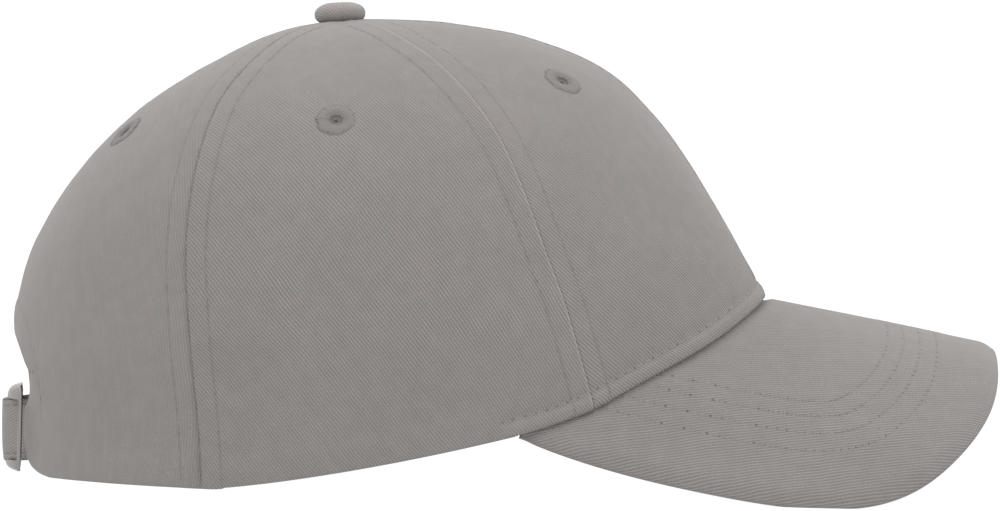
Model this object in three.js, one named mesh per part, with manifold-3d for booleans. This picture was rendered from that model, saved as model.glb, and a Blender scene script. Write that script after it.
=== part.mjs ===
// Six-panel cotton cap with a curved peak and a strap with a slide buckle at the back.
// Millimetres. +X runs forward over the peak, +Y to the wearer's left, +Z up, standing on z = 0.

import * as THREE from 'three';
import Module from 'manifold-3d';
import { mergeVertices } from 'three/addons/utils/BufferGeometryUtils.js';

const wasm = await Module();
wasm.setup();

// Cloth and clearances
const CROWN_WALL = 1.6;
const PEAK_THICKNESS = 3;
const SWEATBAND_THICKNESS = 1.1;
const STRAP_THICKNESS = 1.5;
const GAP = 0.3;

// Crown, from the top button down to the hem: share of the way down, then where the front,
// side and back meridians are
const STATIONS = [
  { share: 0.00, frontX: -45.0, frontZ: 124.2, sideX: -45.0, sideY: 0.0, sideZ: 124.2, backX: -45.0, backZ: 124.2 },
  { share: 0.10, frontX: -30.1, frontZ: 124.5, sideX: -45.0, sideY: 17.0, sideZ: 121.5, backX: -61.4, backZ: 120.2 },
  { share: 0.20, frontX: -15.2, frontZ: 124.0, sideX: -44.5, sideY: 33.0, sideZ: 115.6, backX: -76.7, backZ: 112.8 },
  { share: 0.35, frontX: 6.9, frontZ: 120.5, sideX: -42.0, sideY: 53.5, sideZ: 102.6, backX: -97.7, backZ: 98.7 },
  { share: 0.50, frontX: 27.6, frontZ: 112.2, sideX: -38.0, sideY: 68.5, sideZ: 84.8, backX: -114.6, backZ: 80.4 },
  { share: 0.65, frontX: 43.8, frontZ: 96.9, sideX: -33.5, sideY: 77.5, sideZ: 64.6, backX: -127.0, backZ: 58.0 },
  { share: 0.80, frontX: 56.6, frontZ: 78.5, sideX: -29.6, sideY: 82.0, sideZ: 42.0, backX: -130.6, backZ: 33.1 },
  { share: 0.90, frontX: 64.4, frontZ: 65.7, sideX: -28.2, sideY: 82.8, sideZ: 25.5, backX: -129.3, backZ: 16.3 },
  { share: 1.00, frontX: 71.7, frontZ: 52.8, sideX: -27.3, sideY: 82.0, sideZ: 8.2, backX: -127.3, backZ: 0.0 },
];
const FRONT_SWEEP = 1.55;
const REAR_SWEEP = 0.8;
const REAR_FULLNESS = 0.035;
const TOP_SHARE = 0.024;

// Seams between the panels, as azimuths from the front at the hem, and how far they turn by the top
const FRONT_SEAM_AZIMUTH = 58.6;
const FRONT_SEAM_TURN = -4;
const REAR_SEAM_AZIMUTH = 118;
const REAR_SEAM_TURN = 16;
const PANEL_COLUMNS = 10;
const PANEL_ROWS = 16;

// Hem: where the peak ends, where the hem comes down to the surface, and the drop between them
const PEAK_END_AZIMUTH = 70;
const HEM_FLAT_AZIMUTH = 118;
const HEM_HEIGHT_AT_PEAK_END = 16.4;
const HEM_FALL_POWER = 1.3;
const HEM_TUCK = 2.5;
const HEM_TUCK_FADE = 16;

// Peak: its ridge line, its droop to each side and its outline in plan. The droop's first row
// mirrors its third, so that the curve is level over the ridge.
const RIDGE_X = 78.6;
const RIDGE_Z = 51.6;
const RIDGE_SLOPE = -0.177;
const PEAK_DROOP = [
  { across: -20, drop: 3.5 },
  { across: 0, drop: 0 },
  { across: 20, drop: 3.5 },
  { across: 40, drop: 12.5 },
  { across: 60, drop: 26.9 },
  { across: 76, drop: 46.4 },
  { across: 84, drop: 59.6 },
];
const PEAK_WIDEST_X = 58;
const PEAK_HALF_WIDTH = 78.4;
const PEAK_REACH = 75.1;
const PEAK_SQUARENESS = 3.4;
const PEAK_CORNER_X = 6.3;
const PEAK_CORNER_NARROWING = 2.9;
const PEAK_SIDE_SHARE = 0.62;
const PEAK_CORNER_SHARE = 0.985;
const PEAK_ROOT_LAP = 9;
const PEAK_COLUMNS = 36;
const PEAK_ROWS = 8;
const PLUG_TOP_SHARE = 0.6;
const PLUG_COLUMNS = 60;
const PLUG_ROWS = 6;

// Rear opening over the strap
const ARCH_HALF_WIDTH = 32;
const ARCH_SPRING_Z = 19;
const ARCH_TOP_Z = 38;
const ARCH_SQUARENESS = 3;
const ARCH_STEPS = 24;
const ARCH_FOOT_RADIUS = 6;
const ARCH_NEAR_X = -100;
const ARCH_FAR_X = -140;

// Vent eyelets
const EYELET_RADIUS = 5.4;
const EYELET_HOLE_RADIUS = 1.5;
const EYELET_BARREL_RADIUS = 2.7;
const EYELET_RELIEF = 0.9;
const EYELET_SEAT = 0.45;
const EYELET_SIDES = 16;
const FRONT_EYELET = { azimuth: 30.2, share: 0.470 };
const SIDE_EYELET = { azimuth: 92.8, share: 0.4025 };
const REAR_EYELET = { azimuth: 153.9, share: 0.4165 };

// Top button
const BUTTON_RADIUS = 6.8;
const BUTTON_HEIGHT = 4.6;
const BUTTON_EDGE = 1.6;
const BUTTON_SEAT = 0.8;
const BUTTON_LEAN = 4.6;
const SHANK_RADIUS = 3;
const SHANK_LENGTH = 2.6;

// Sweatband inside the rim
const SWEATBAND_TOP_SHARE = 0.80;
const SWEATBAND_FOOT_SHARE = 0.985;
const SWEATBAND_END_AZIMUTH = 144;
const SWEATBAND_COLUMNS = 40;

// Strap: how far its outer face stands off the crown's outer surface, by distance from the middle.
// It stands upright across the opening and leans with the crown where it is tucked inside.
const STRAP_TOP_SHARE = 0.882;
const STRAP_FOOT_SHARE = 0.976;
const STRAP_END_AZIMUTH = 146;
const STRAP_UPRIGHT_TO = 12;
const STRAP_LEANS_FROM = 28;
const STRAP_COLUMNS = 36;
const STRAP_STAND = [
  { across: 0, stand: 4.8 },
  { across: 2.6, stand: 4.4 },
  { across: 5.6, stand: 1.5 },
  { across: 8.6, stand: -1.0 },
  { across: 12, stand: -2.1 },
  { across: 60, stand: -1.9 },
];

// Slide buckle: a frame bowed about an upright axis, with a middle bar under the strap
const BUCKLE_BOW_RADIUS = 24;
const BUCKLE_THICKNESS = 1.3;
const BUCKLE_OUTER_X = -131.4;
const BUCKLE_HALF_WIDTH = 12;
const BUCKLE_HALF_HEIGHT = 11.75;
const BUCKLE_MIDDLE_Z = 11.9;
const BUCKLE_CORNER = 3.2;
const BUCKLE_WINDOW_HALF_HEIGHT = 9.1;
const BUCKLE_BAR = 2.4;
const BUCKLE_MIDDLE_BAR = 3;

const COTTON = new THREE.MeshStandardMaterial({ color: 0x948f8c, roughness: 0.92, metalness: 0 });
const THREAD = new THREE.MeshStandardMaterial({ color: 0x8f8a87, roughness: 0.8, metalness: 0 });
const STEEL = new THREE.MeshStandardMaterial({ color: 0xb8b4ae, roughness: 0.35, metalness: 1 });

function smoothStep(value) {
  const held = THREE.MathUtils.clamp(value, 0, 1);
  return held * held * (3 - 2 * held);
}

// Value of one column of a table at a place between its rows, on a smooth curve through them
function tableValue(rows, keyColumn, valueColumn, key) {
  const last = rows.length - 1;
  let row = 0;
  while (row < last - 1 && rows[row + 1][keyColumn] < key) {
    row += 1;
  }
  const slopeAt = (index) => {
    const before = rows[Math.max(0, index - 1)];
    const after = rows[Math.min(last, index + 1)];
    return (after[valueColumn] - before[valueColumn]) / (after[keyColumn] - before[keyColumn]);
  };
  const start = rows[row];
  const end = rows[row + 1];
  const span = end[keyColumn] - start[keyColumn];
  const along = (key - start[keyColumn]) / span;
  const square = along * along;
  const cube = square * along;
  return (2 * cube - 3 * square + 1) * start[valueColumn]
    + (cube - 2 * square + along) * span * slopeAt(row)
    + (3 * square - 2 * cube) * end[valueColumn]
    + (cube - square) * span * slopeAt(row + 1);
}

// Peak surface

function peakTopHeight(x, y) {
  const ridge = RIDGE_Z + RIDGE_SLOPE * (x - RIDGE_X);
  return ridge - tableValue(PEAK_DROOP, 'across', 'drop', Math.abs(y));
}

// Crown surface: azimuth in degrees from the front, share of the way down from the button

function crownPlan(azimuth, share) {
  const angle = THREE.MathUtils.degToRad(azimuth);
  const forward = Math.cos(angle);
  const column = (name) => tableValue(STATIONS, 'share', name, share);
  const fullness = forward < 0 ? 1 + REAR_FULLNESS * Math.sin(2 * angle) ** 2 : 1;
  const sideX = column('sideX');
  const reach = forward > 0 ? column('frontX') - sideX : sideX - column('backX');
  return {
    x: sideX + reach * forward * fullness,
    y: column('sideY') * Math.sin(angle) * fullness,
  };
}

function crownHeight(azimuth, share) {
  const forward = Math.cos(THREE.MathUtils.degToRad(azimuth));
  const column = (name) => tableValue(STATIONS, 'share', name, share);
  const sideZ = column('sideZ');
  if (forward > 0) {
    return sideZ + (column('frontZ') - sideZ) * forward ** FRONT_SWEEP;
  }
  return sideZ + (column('backZ') - sideZ) * (-forward) ** REAR_SWEEP;
}

// Height of the hem: tucked behind the peak in front, falling to the surface at the rear sides
function hemHeight(azimuth) {
  const turn = Math.abs(azimuth);
  if (turn >= HEM_FLAT_AZIMUTH) {
    return 0;
  }
  if (turn >= PEAK_END_AZIMUTH) {
    const left = (HEM_FLAT_AZIMUTH - turn) / (HEM_FLAT_AZIMUTH - PEAK_END_AZIMUTH);
    return HEM_HEIGHT_AT_PEAK_END * left ** HEM_FALL_POWER;
  }
  const hem = crownPlan(azimuth, 1);
  const tuck = HEM_TUCK * smoothStep((PEAK_END_AZIMUTH - turn) / HEM_TUCK_FADE);
  return peakTopHeight(hem.x, hem.y) - tuck;
}

function crownSkin(azimuth, share) {
  const plan = crownPlan(azimuth, share);
  const fit = hemHeight(azimuth) - crownHeight(azimuth, 1);
  return new THREE.Vector3(plan.x, plan.y, crownHeight(azimuth, share) + fit * share ** 5);
}

// A point of the crown moved outward along the surface's normal
function crownPoint(azimuth, share, outward) {
  const step = 0.01;
  const here = crownSkin(azimuth, share);
  const around = crownSkin(azimuth + 0.5, share).sub(crownSkin(azimuth - 0.5, share));
  const down = crownSkin(azimuth, share + step).sub(crownSkin(azimuth, share - step));
  const normal = down.cross(around).normalize();
  return here.addScaledVector(normal, outward);
}

// Closed solids

function indexedGeometry(points, triangles) {
  const geometry = new THREE.BufferGeometry();
  geometry.setAttribute('position', new THREE.Float32BufferAttribute(points.flat(), 3));
  geometry.setIndex(triangles.flat());
  return geometry;
}

// A sheet of cloth as a closed slab: face(u, v, side) gives its front (0) and back (1) points.
// Seen from the front, u runs to the right and v runs down.
function slab(face, columns, rows) {
  const points = [];
  const triangles = [];
  const index = (side, column, row) => (side * (rows + 1) + row) * (columns + 1) + column;
  for (const side of [0, 1]) {
    for (let row = 0; row <= rows; row += 1) {
      for (let column = 0; column <= columns; column += 1) {
        points.push(face(column / columns, row / rows, side).toArray());
      }
    }
  }
  const quad = (a, b, c, d) => triangles.push([a, b, c], [a, c, d]);
  for (let row = 0; row < rows; row += 1) {
    for (let column = 0; column < columns; column += 1) {
      quad(index(0, column, row), index(0, column, row + 1),
        index(0, column + 1, row + 1), index(0, column + 1, row));
      quad(index(1, column, row), index(1, column + 1, row),
        index(1, column + 1, row + 1), index(1, column, row + 1));
    }
  }
  for (let column = 0; column < columns; column += 1) {
    quad(index(0, column, 0), index(0, column + 1, 0), index(1, column + 1, 0), index(1, column, 0));
    quad(index(0, column, rows), index(1, column, rows),
      index(1, column + 1, rows), index(0, column + 1, rows));
  }
  for (let row = 0; row < rows; row += 1) {
    quad(index(0, 0, row), index(1, 0, row), index(1, 0, row + 1), index(0, 0, row + 1));
    quad(index(0, columns, row), index(0, columns, row + 1),
      index(1, columns, row + 1), index(1, columns, row));
  }
  return indexedGeometry(points, triangles);
}

function toSolid(geometry) {
  const bare = geometry.clone();
  bare.deleteAttribute('normal');
  bare.deleteAttribute('uv');
  const merged = mergeVertices(bare, 1e-5);
  return new wasm.Manifold(new wasm.Mesh({
    numProp: 3,
    vertProperties: Float32Array.from(merged.attributes.position.array),
    triVerts: Uint32Array.from(merged.index.array),
  }));
}

function fromSolid(solid) {
  const mesh = solid.getMesh();
  const geometry = new THREE.BufferGeometry();
  geometry.setAttribute('position', new THREE.BufferAttribute(mesh.vertProperties, 3));
  geometry.setIndex(new THREE.BufferAttribute(mesh.triVerts, 1));
  return geometry;
}

// An outline drawn in Y and Z, extruded along X between two places
function alongX(outline, fromX, toX, curveSegments) {
  const geometry = new THREE.ExtrudeGeometry(outline, {
    depth: toX - fromX,
    bevelEnabled: false,
    curveSegments,
  });
  const turned = new THREE.Matrix4().makeBasis(
    new THREE.Vector3(0, 1, 0),
    new THREE.Vector3(0, 0, 1),
    new THREE.Vector3(1, 0, 0),
  );
  return geometry.applyMatrix4(turned).translate(fromX, 0, 0);
}

// Crown panels

function seamAzimuth(seam, share) {
  const turn = 1 - share;
  const azimuths = {
    front: 0,
    frontSide: FRONT_SEAM_AZIMUTH + FRONT_SEAM_TURN * turn,
    rearSide: REAR_SEAM_AZIMUTH + REAR_SEAM_TURN * turn ** 1.9,
    back: 180,
  };
  return azimuths[seam];
}

// Azimuth a way across a panel, with half the gap left at each of its seams
function panelAzimuth(panel, across, share) {
  const start = seamAzimuth(panel.fromSeam, share);
  const end = seamAzimuth(panel.toSeam, share);
  const middle = crownPlan((start + end) / 2, share);
  const radius = Math.hypot(middle.x - tableValue(STATIONS, 'share', 'sideX', share), middle.y);
  const inset = THREE.MathUtils.radToDeg(GAP / 2 / radius);
  return THREE.MathUtils.lerp(start + inset, end - inset, across);
}

const PANELS = [
  { place: 'front', fromSeam: 'front', toSeam: 'frontSide', eyelet: FRONT_EYELET },
  { place: 'side', fromSeam: 'frontSide', toSeam: 'rearSide', eyelet: SIDE_EYELET },
  { place: 'rear', fromSeam: 'rearSide', toSeam: 'back', eyelet: REAR_EYELET },
];
const HANDS = [
  { hand: 'left', turn: 1 },
  { hand: 'right', turn: -1 },
];

function archOutline() {
  const foot = ARCH_HALF_WIDTH + ARCH_FOOT_RADIUS;
  const below = -5;
  const outline = new THREE.Shape();
  outline.moveTo(-foot, below);
  outline.lineTo(foot, below);
  outline.lineTo(foot, 0);
  outline.absarc(foot, ARCH_FOOT_RADIUS, ARCH_FOOT_RADIUS, 1.5 * Math.PI, Math.PI, true);
  outline.lineTo(ARCH_HALF_WIDTH, ARCH_SPRING_Z);
  for (let step = 1; step <= ARCH_STEPS; step += 1) {
    const angle = Math.PI * step / ARCH_STEPS;
    const across = Math.sign(Math.cos(angle)) * Math.abs(Math.cos(angle)) ** (2 / ARCH_SQUARENESS);
    const rise = Math.abs(Math.sin(angle)) ** (2 / ARCH_SQUARENESS);
    outline.lineTo(ARCH_HALF_WIDTH * across, ARCH_SPRING_Z + (ARCH_TOP_Z - ARCH_SPRING_Z) * rise);
  }
  outline.lineTo(-ARCH_HALF_WIDTH, ARCH_FOOT_RADIUS);
  outline.absarc(-foot, ARCH_FOOT_RADIUS, ARCH_FOOT_RADIUS, 0, -0.5 * Math.PI, true);
  outline.closePath();
  return outline;
}

// Turns a piece modelled about +Y so that it stands on the crown where an eyelet goes
function standOnCrown(geometry, azimuth, share) {
  const foot = crownPoint(azimuth, share, 0);
  const outward = crownPoint(azimuth, share, 1).sub(foot);
  const turn = new THREE.Quaternion().setFromUnitVectors(new THREE.Vector3(0, 1, 0), outward);
  return geometry.applyQuaternion(turn).translate(foot.x, foot.y, foot.z);
}

function crownPanel(panel, hand) {
  const cloth = slab((u, v, side) => {
    const share = THREE.MathUtils.lerp(TOP_SHARE, 1, v);
    const across = hand.turn > 0 ? u : 1 - u;
    const azimuth = hand.turn * panelAzimuth(panel, across, share);
    const point = crownPoint(azimuth, share, -side * CROWN_WALL);
    if (v === 1) {
      point.z = hemHeight(azimuth);
    }
    return point;
  }, PANEL_COLUMNS, PANEL_ROWS);
  const hole = new THREE.CylinderGeometry(
    EYELET_BARREL_RADIUS + GAP, EYELET_BARREL_RADIUS + GAP, 6 * CROWN_WALL, EYELET_SIDES,
  );
  standOnCrown(hole, hand.turn * panel.eyelet.azimuth, panel.eyelet.share);
  let solid = toSolid(cloth).subtract(toSolid(hole));
  if (panel.toSeam === 'back') {
    const arch = alongX(archOutline(), ARCH_FAR_X, ARCH_NEAR_X, 10);
    solid = solid.subtract(toSolid(arch));
  }
  return fromSolid(solid);
}

// Eyelet: an embroidered ring on the outside with a barrel of thread through the cloth
function eyelet(panel, hand) {
  const top = EYELET_SEAT + EYELET_RELIEF;
  const foot = -CROWN_WALL - EYELET_SEAT;
  const profile = [
    new THREE.Vector2(EYELET_HOLE_RADIUS, foot),
    new THREE.Vector2(EYELET_BARREL_RADIUS, foot),
    new THREE.Vector2(EYELET_BARREL_RADIUS, EYELET_SEAT),
    new THREE.Vector2(EYELET_RADIUS, EYELET_SEAT),
    new THREE.Vector2(EYELET_RADIUS - 0.6, top - 0.1),
    new THREE.Vector2(EYELET_HOLE_RADIUS + 0.8, top),
    new THREE.Vector2(EYELET_HOLE_RADIUS, EYELET_SEAT),
    new THREE.Vector2(EYELET_HOLE_RADIUS, foot),
  ];
  const ring = new THREE.LatheGeometry(profile, EYELET_SIDES);
  return standOnCrown(ring, hand.turn * panel.eyelet.azimuth, panel.eyelet.share);
}

// Top button: a domed cap whose shank goes through the meeting point of the panels
function topButton() {
  const profile = [new THREE.Vector2(0, -SHANK_LENGTH), new THREE.Vector2(SHANK_RADIUS, -SHANK_LENGTH)];
  profile.push(new THREE.Vector2(SHANK_RADIUS, BUTTON_SEAT));
  profile.push(new THREE.Vector2(BUTTON_RADIUS - 0.4, BUTTON_SEAT));
  const dome = 6;
  for (let step = 0; step <= dome; step += 1) {
    const angle = (step / dome) * Math.PI / 2;
    const rise = BUTTON_HEIGHT - BUTTON_EDGE;
    const radius = step === dome ? 0 : BUTTON_RADIUS * Math.cos(angle) ** 0.8;
    profile.push(new THREE.Vector2(radius, BUTTON_SEAT + BUTTON_EDGE + rise * Math.sin(angle)));
  }
  const button = new THREE.LatheGeometry(profile, 24);
  const apex = STATIONS[0];
  return button
    .rotateX(Math.PI / 2)
    .rotateY(-THREE.MathUtils.degToRad(BUTTON_LEAN))
    .translate(apex.frontX, 0, apex.frontZ);
}

// Peak

// The inside of the crown's rim with a clearance around it, which the root of the peak stops at
function crownPlug() {
  const points = [];
  const triangles = [];
  const index = (column, row) => row * PLUG_COLUMNS + (column % PLUG_COLUMNS);
  for (let row = 0; row <= PLUG_ROWS; row += 1) {
    const share = THREE.MathUtils.lerp(PLUG_TOP_SHARE, 1, row / PLUG_ROWS);
    for (let column = 0; column < PLUG_COLUMNS; column += 1) {
      points.push(crownPoint((column / PLUG_COLUMNS) * 360 - 180, share, GAP));
    }
  }
  for (let column = 0; column < PLUG_COLUMNS; column += 1) {
    const hem = points[index(column, PLUG_ROWS)];
    const above = points[index(column, PLUG_ROWS - 1)];
    points.push(hem.clone().multiplyScalar(2).sub(above));
  }
  for (let row = 0; row <= PLUG_ROWS; row += 1) {
    for (let column = 0; column < PLUG_COLUMNS; column += 1) {
      const below = index(column + 1, row + 1);
      triangles.push([index(column, row), index(column, row + 1), below]);
      triangles.push([index(column, row), below, index(column + 1, row)]);
    }
  }
  const top = points.length;
  const middle = crownPlan(90, PLUG_TOP_SHARE);
  points.push(new THREE.Vector3(middle.x, 0, crownHeight(90, PLUG_TOP_SHARE)));
  points.push(new THREE.Vector3(middle.x, 0, 0));
  for (let column = 0; column < PLUG_COLUMNS; column += 1) {
    triangles.push([top, index(column, 0), index(column + 1, 0)]);
    triangles.push([top + 1, index(column + 1, PLUG_ROWS + 1), index(column, PLUG_ROWS + 1)]);
  }
  return indexedGeometry(points.map((point) => point.toArray()), triangles);
}

// The free edge of the peak in plan, from one rear corner (-1) over the tip (0) to the other (1)
function peakEdge(across) {
  const side = Math.sign(across);
  const turn = Math.abs(across);
  if (turn > PEAK_SIDE_SHARE) {
    const back = (turn - PEAK_SIDE_SHARE) / (1 - PEAK_SIDE_SHARE);
    const halfWidth = PEAK_HALF_WIDTH - PEAK_CORNER_NARROWING * back ** 2.2;
    return new THREE.Vector2(THREE.MathUtils.lerp(PEAK_WIDEST_X, PEAK_CORNER_X, back), side * halfWidth);
  }
  const angle = (turn / PEAK_SIDE_SHARE) * Math.PI / 2;
  const forward = (Math.cos(angle) / PEAK_REACH) ** PEAK_SQUARENESS;
  const sideways = (Math.sin(angle) / PEAK_HALF_WIDTH) ** PEAK_SQUARENESS;
  const radius = (forward + sideways) ** (-1 / PEAK_SQUARENESS);
  return new THREE.Vector2(PEAK_WIDEST_X + radius * Math.cos(angle), side * radius * Math.sin(angle));
}

// Where the root of the peak starts in plan, lapped inside the crown before it is cut back
function peakRoot(across) {
  const hem = crownPlan(PEAK_END_AZIMUTH * across, 1);
  const middle = crownPlan(90, 1);
  const inward = new THREE.Vector2(middle.x - hem.x, -hem.y).setLength(PEAK_ROOT_LAP);
  return new THREE.Vector2(hem.x, hem.y).add(inward);
}

function peak() {
  const step = 0.5;
  const cloth = slab((u, v, side) => {
    const across = PEAK_CORNER_SHARE * (2 * u - 1);
    const plan = peakRoot(across).lerp(peakEdge(across), v);
    const normal = new THREE.Vector3(
      (peakTopHeight(plan.x - step, plan.y) - peakTopHeight(plan.x + step, plan.y)) / (2 * step),
      (peakTopHeight(plan.x, plan.y - step) - peakTopHeight(plan.x, plan.y + step)) / (2 * step),
      1,
    ).normalize();
    const top = new THREE.Vector3(plan.x, plan.y, peakTopHeight(plan.x, plan.y));
    return top.addScaledVector(normal, -side * PEAK_THICKNESS);
  }, PEAK_COLUMNS, PEAK_ROWS);
  return fromSolid(toSolid(cloth).subtract(toSolid(crownPlug())));
}

// Bands along the rim

function sweatband() {
  return slab((u, v, side) => {
    const azimuth = SWEATBAND_END_AZIMUTH * (2 * u - 1);
    const share = THREE.MathUtils.lerp(SWEATBAND_TOP_SHARE, SWEATBAND_FOOT_SHARE, v);
    return crownPoint(azimuth, share, -CROWN_WALL - GAP - side * SWEATBAND_THICKNESS);
  }, SWEATBAND_COLUMNS, 2);
}

function backStrap() {
  return slab((u, v, side) => {
    const azimuth = THREE.MathUtils.lerp(STRAP_END_AZIMUTH, 360 - STRAP_END_AZIMUTH, u);
    const share = THREE.MathUtils.lerp(STRAP_TOP_SHARE, STRAP_FOOT_SHARE, v);
    const middleShare = (STRAP_TOP_SHARE + STRAP_FOOT_SHARE) / 2;
    const across = Math.abs(crownPlan(azimuth, middleShare).y);
    const stand = tableValue(STRAP_STAND, 'across', 'stand', across) - side * STRAP_THICKNESS;
    const lean = smoothStep((across - STRAP_UPRIGHT_TO) / (STRAP_LEANS_FROM - STRAP_UPRIGHT_TO));
    const upright = crownPoint(azimuth, middleShare, stand);
    const leaning = crownPoint(azimuth, share, stand);
    upright.z = leaning.z;
    return upright.lerp(leaning, lean);
  }, STRAP_COLUMNS, 2);
}

// Slide buckle

function roundedRectangle(halfWidth, middleZ, halfHeight, corner) {
  const outline = new THREE.Shape();
  const innerY = halfWidth - corner;
  const lowZ = middleZ - halfHeight + corner;
  const highZ = middleZ + halfHeight - corner;
  outline.absarc(innerY, lowZ, corner, -Math.PI / 2, 0, false);
  outline.absarc(innerY, highZ, corner, 0, Math.PI / 2, false);
  outline.absarc(-innerY, highZ, corner, Math.PI / 2, Math.PI, false);
  outline.absarc(-innerY, lowZ, corner, Math.PI, 1.5 * Math.PI, false);
  outline.closePath();
  return outline;
}

function buckleWindow(hand) {
  const inner = BUCKLE_MIDDLE_BAR / 2;
  const outer = BUCKLE_HALF_WIDTH - BUCKLE_BAR;
  const low = BUCKLE_MIDDLE_Z - BUCKLE_WINDOW_HALF_HEIGHT;
  const high = BUCKLE_MIDDLE_Z + BUCKLE_WINDOW_HALF_HEIGHT;
  const nearY = Math.min(hand * inner, hand * outer);
  const farY = Math.max(hand * inner, hand * outer);
  const outline = new THREE.Shape();
  outline.moveTo(nearY, low);
  outline.lineTo(farY, low);
  outline.lineTo(farY, high);
  outline.lineTo(nearY, high);
  outline.closePath();
  return outline;
}

function strapBuckle() {
  const bowX = BUCKLE_OUTER_X + BUCKLE_BOW_RADIUS;
  const innerRadius = BUCKLE_BOW_RADIUS - BUCKLE_THICKNESS;
  const halfTurn = Math.asin(1.1 * BUCKLE_HALF_WIDTH / BUCKLE_BOW_RADIUS);
  const bow = new THREE.Shape();
  bow.absarc(bowX, 0, BUCKLE_BOW_RADIUS, Math.PI - halfTurn, Math.PI + halfTurn, false);
  bow.absarc(bowX, 0, innerRadius, Math.PI + halfTurn, Math.PI - halfTurn, true);
  bow.closePath();
  const height = 2 * BUCKLE_HALF_HEIGHT + 2;
  const sheet = new THREE.ExtrudeGeometry(bow, { depth: height, bevelEnabled: false, curveSegments: 12 });
  sheet.translate(0, 0, BUCKLE_MIDDLE_Z - height / 2);
  const outline = roundedRectangle(BUCKLE_HALF_WIDTH, BUCKLE_MIDDLE_Z, BUCKLE_HALF_HEIGHT, BUCKLE_CORNER);
  const nearX = BUCKLE_OUTER_X + BUCKLE_HALF_WIDTH;
  const farX = BUCKLE_OUTER_X - BUCKLE_HALF_WIDTH;
  let frame = toSolid(sheet).intersect(toSolid(alongX(outline, farX, nearX, 5)));
  for (const hand of [1, -1]) {
    frame = frame.subtract(toSolid(alongX(buckleWindow(hand), farX, nearX, 1)));
  }
  return fromSolid(frame);
}

const cap = new THREE.Group();

function addPiece(name, geometry, material) {
  const mesh = new THREE.Mesh(geometry, material);
  mesh.name = name;
  cap.add(mesh);
}

for (const panel of PANELS) {
  for (const hand of HANDS) {
    addPiece(`${panel.place}_panel_${hand.hand}`, crownPanel(panel, hand), COTTON);
    addPiece(`${panel.place}_eyelet_${hand.hand}`, eyelet(panel, hand), THREAD);
  }
}
addPiece('peak', peak(), COTTON);
addPiece('top_button', topButton(), COTTON);
addPiece('sweatband', sweatband(), COTTON);
addPiece('back_strap', backStrap(), COTTON);
addPiece('strap_buckle', strapBuckle(), STEEL);

// The origin is the middle of the bounding box on the surface that the cap stands on
const bounds = new THREE.Box3().setFromObject(cap, true);
const middle = bounds.getCenter(new THREE.Vector3());
cap.position.set(-middle.x, -middle.y, -bounds.min.z);

export default cap;
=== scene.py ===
import math

import bpy
import numpy as np
from mathutils import Matrix, Vector


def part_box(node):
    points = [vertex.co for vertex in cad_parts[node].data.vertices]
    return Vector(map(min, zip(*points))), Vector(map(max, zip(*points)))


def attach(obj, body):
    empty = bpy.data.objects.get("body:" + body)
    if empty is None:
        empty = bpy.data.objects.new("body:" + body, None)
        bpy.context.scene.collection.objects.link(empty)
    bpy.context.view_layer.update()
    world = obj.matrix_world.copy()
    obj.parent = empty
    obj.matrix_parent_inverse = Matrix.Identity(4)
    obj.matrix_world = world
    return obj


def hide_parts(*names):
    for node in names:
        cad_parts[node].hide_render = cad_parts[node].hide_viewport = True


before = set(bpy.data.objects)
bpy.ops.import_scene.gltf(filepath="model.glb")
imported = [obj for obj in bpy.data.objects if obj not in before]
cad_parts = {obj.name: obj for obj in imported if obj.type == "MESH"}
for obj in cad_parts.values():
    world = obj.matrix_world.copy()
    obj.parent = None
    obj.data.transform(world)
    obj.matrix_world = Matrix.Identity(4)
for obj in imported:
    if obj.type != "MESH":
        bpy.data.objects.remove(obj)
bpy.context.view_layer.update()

# Six-panel cotton cap: fine cloth surfaces, stitching, metal buckle, materials, light and camera.
# Lengths are in millimetres until a mesh is written, which is in metres.
# Azimuths are degrees from the front, positive to the wearer's left.
# A table holds named columns, and curves through it run over its first column.

MM = 0.001
TURN = 2 * math.pi

# Cloth thicknesses
CROWN_WALL = 1.6
PEAK_THICKNESS = 3.0
SWEATBAND_THICKNESS = 1.1
STRAP_THICKNESS = 1.5
GAP = 0.3
REST_HEIGHT = 0.03
FOLD_STEPS = 5
BAND_EDGE_STEPS = 4

# Crown, from the top button down to the hem: front, side and back meridians
STATIONS = {
    "share": (0.0, 0.1, 0.2, 0.35, 0.5, 0.65, 0.8, 0.9, 1.0),
    "front_x": (-45.0, -30.1, -15.2, 6.9, 27.6, 43.8, 56.6, 64.4, 71.7),
    "front_z": (124.2, 124.5, 124.0, 120.5, 112.2, 96.9, 78.5, 65.7, 52.8),
    "side_x": (-45.0, -45.0, -44.5, -42.0, -38.0, -33.5, -29.6, -28.2, -27.3),
    "side_y": (0.0, 17.0, 33.0, 53.5, 68.5, 77.5, 82.0, 82.8, 82.0),
    "side_z": (124.2, 121.5, 115.6, 102.6, 84.8, 64.6, 42.0, 25.5, 8.2),
    "back_x": (-45.0, -61.4, -76.7, -97.7, -114.6, -126.7, -130.9, -129.3, -127.3),
    "back_z": (124.2, 120.2, 112.8, 98.7, 80.4, 58.0, 33.1, 16.3, 0.0),
}
FRONT_SWEEP = 1.55
REAR_SWEEP = 1.4
REAR_FULLNESS = 0.035
HEM_FIT_POWER = 5
TOP_SHARE = 0.024

# Seams between the panels, by azimuth: the front one down its length, the rear one from the hem up
FRONT_SEAM = {
    "share": (0.0, 0.3, 0.5, 0.7, 0.85, 1.0),
    "azimuth": (54.6, 55.8, 57.1, 58.6, 58.2, 57.7),
}
REAR_SEAM_AZIMUTH = 118.0
REAR_SEAM_TURN = 16.0
REAR_SEAM_POWER = 1.9

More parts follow.
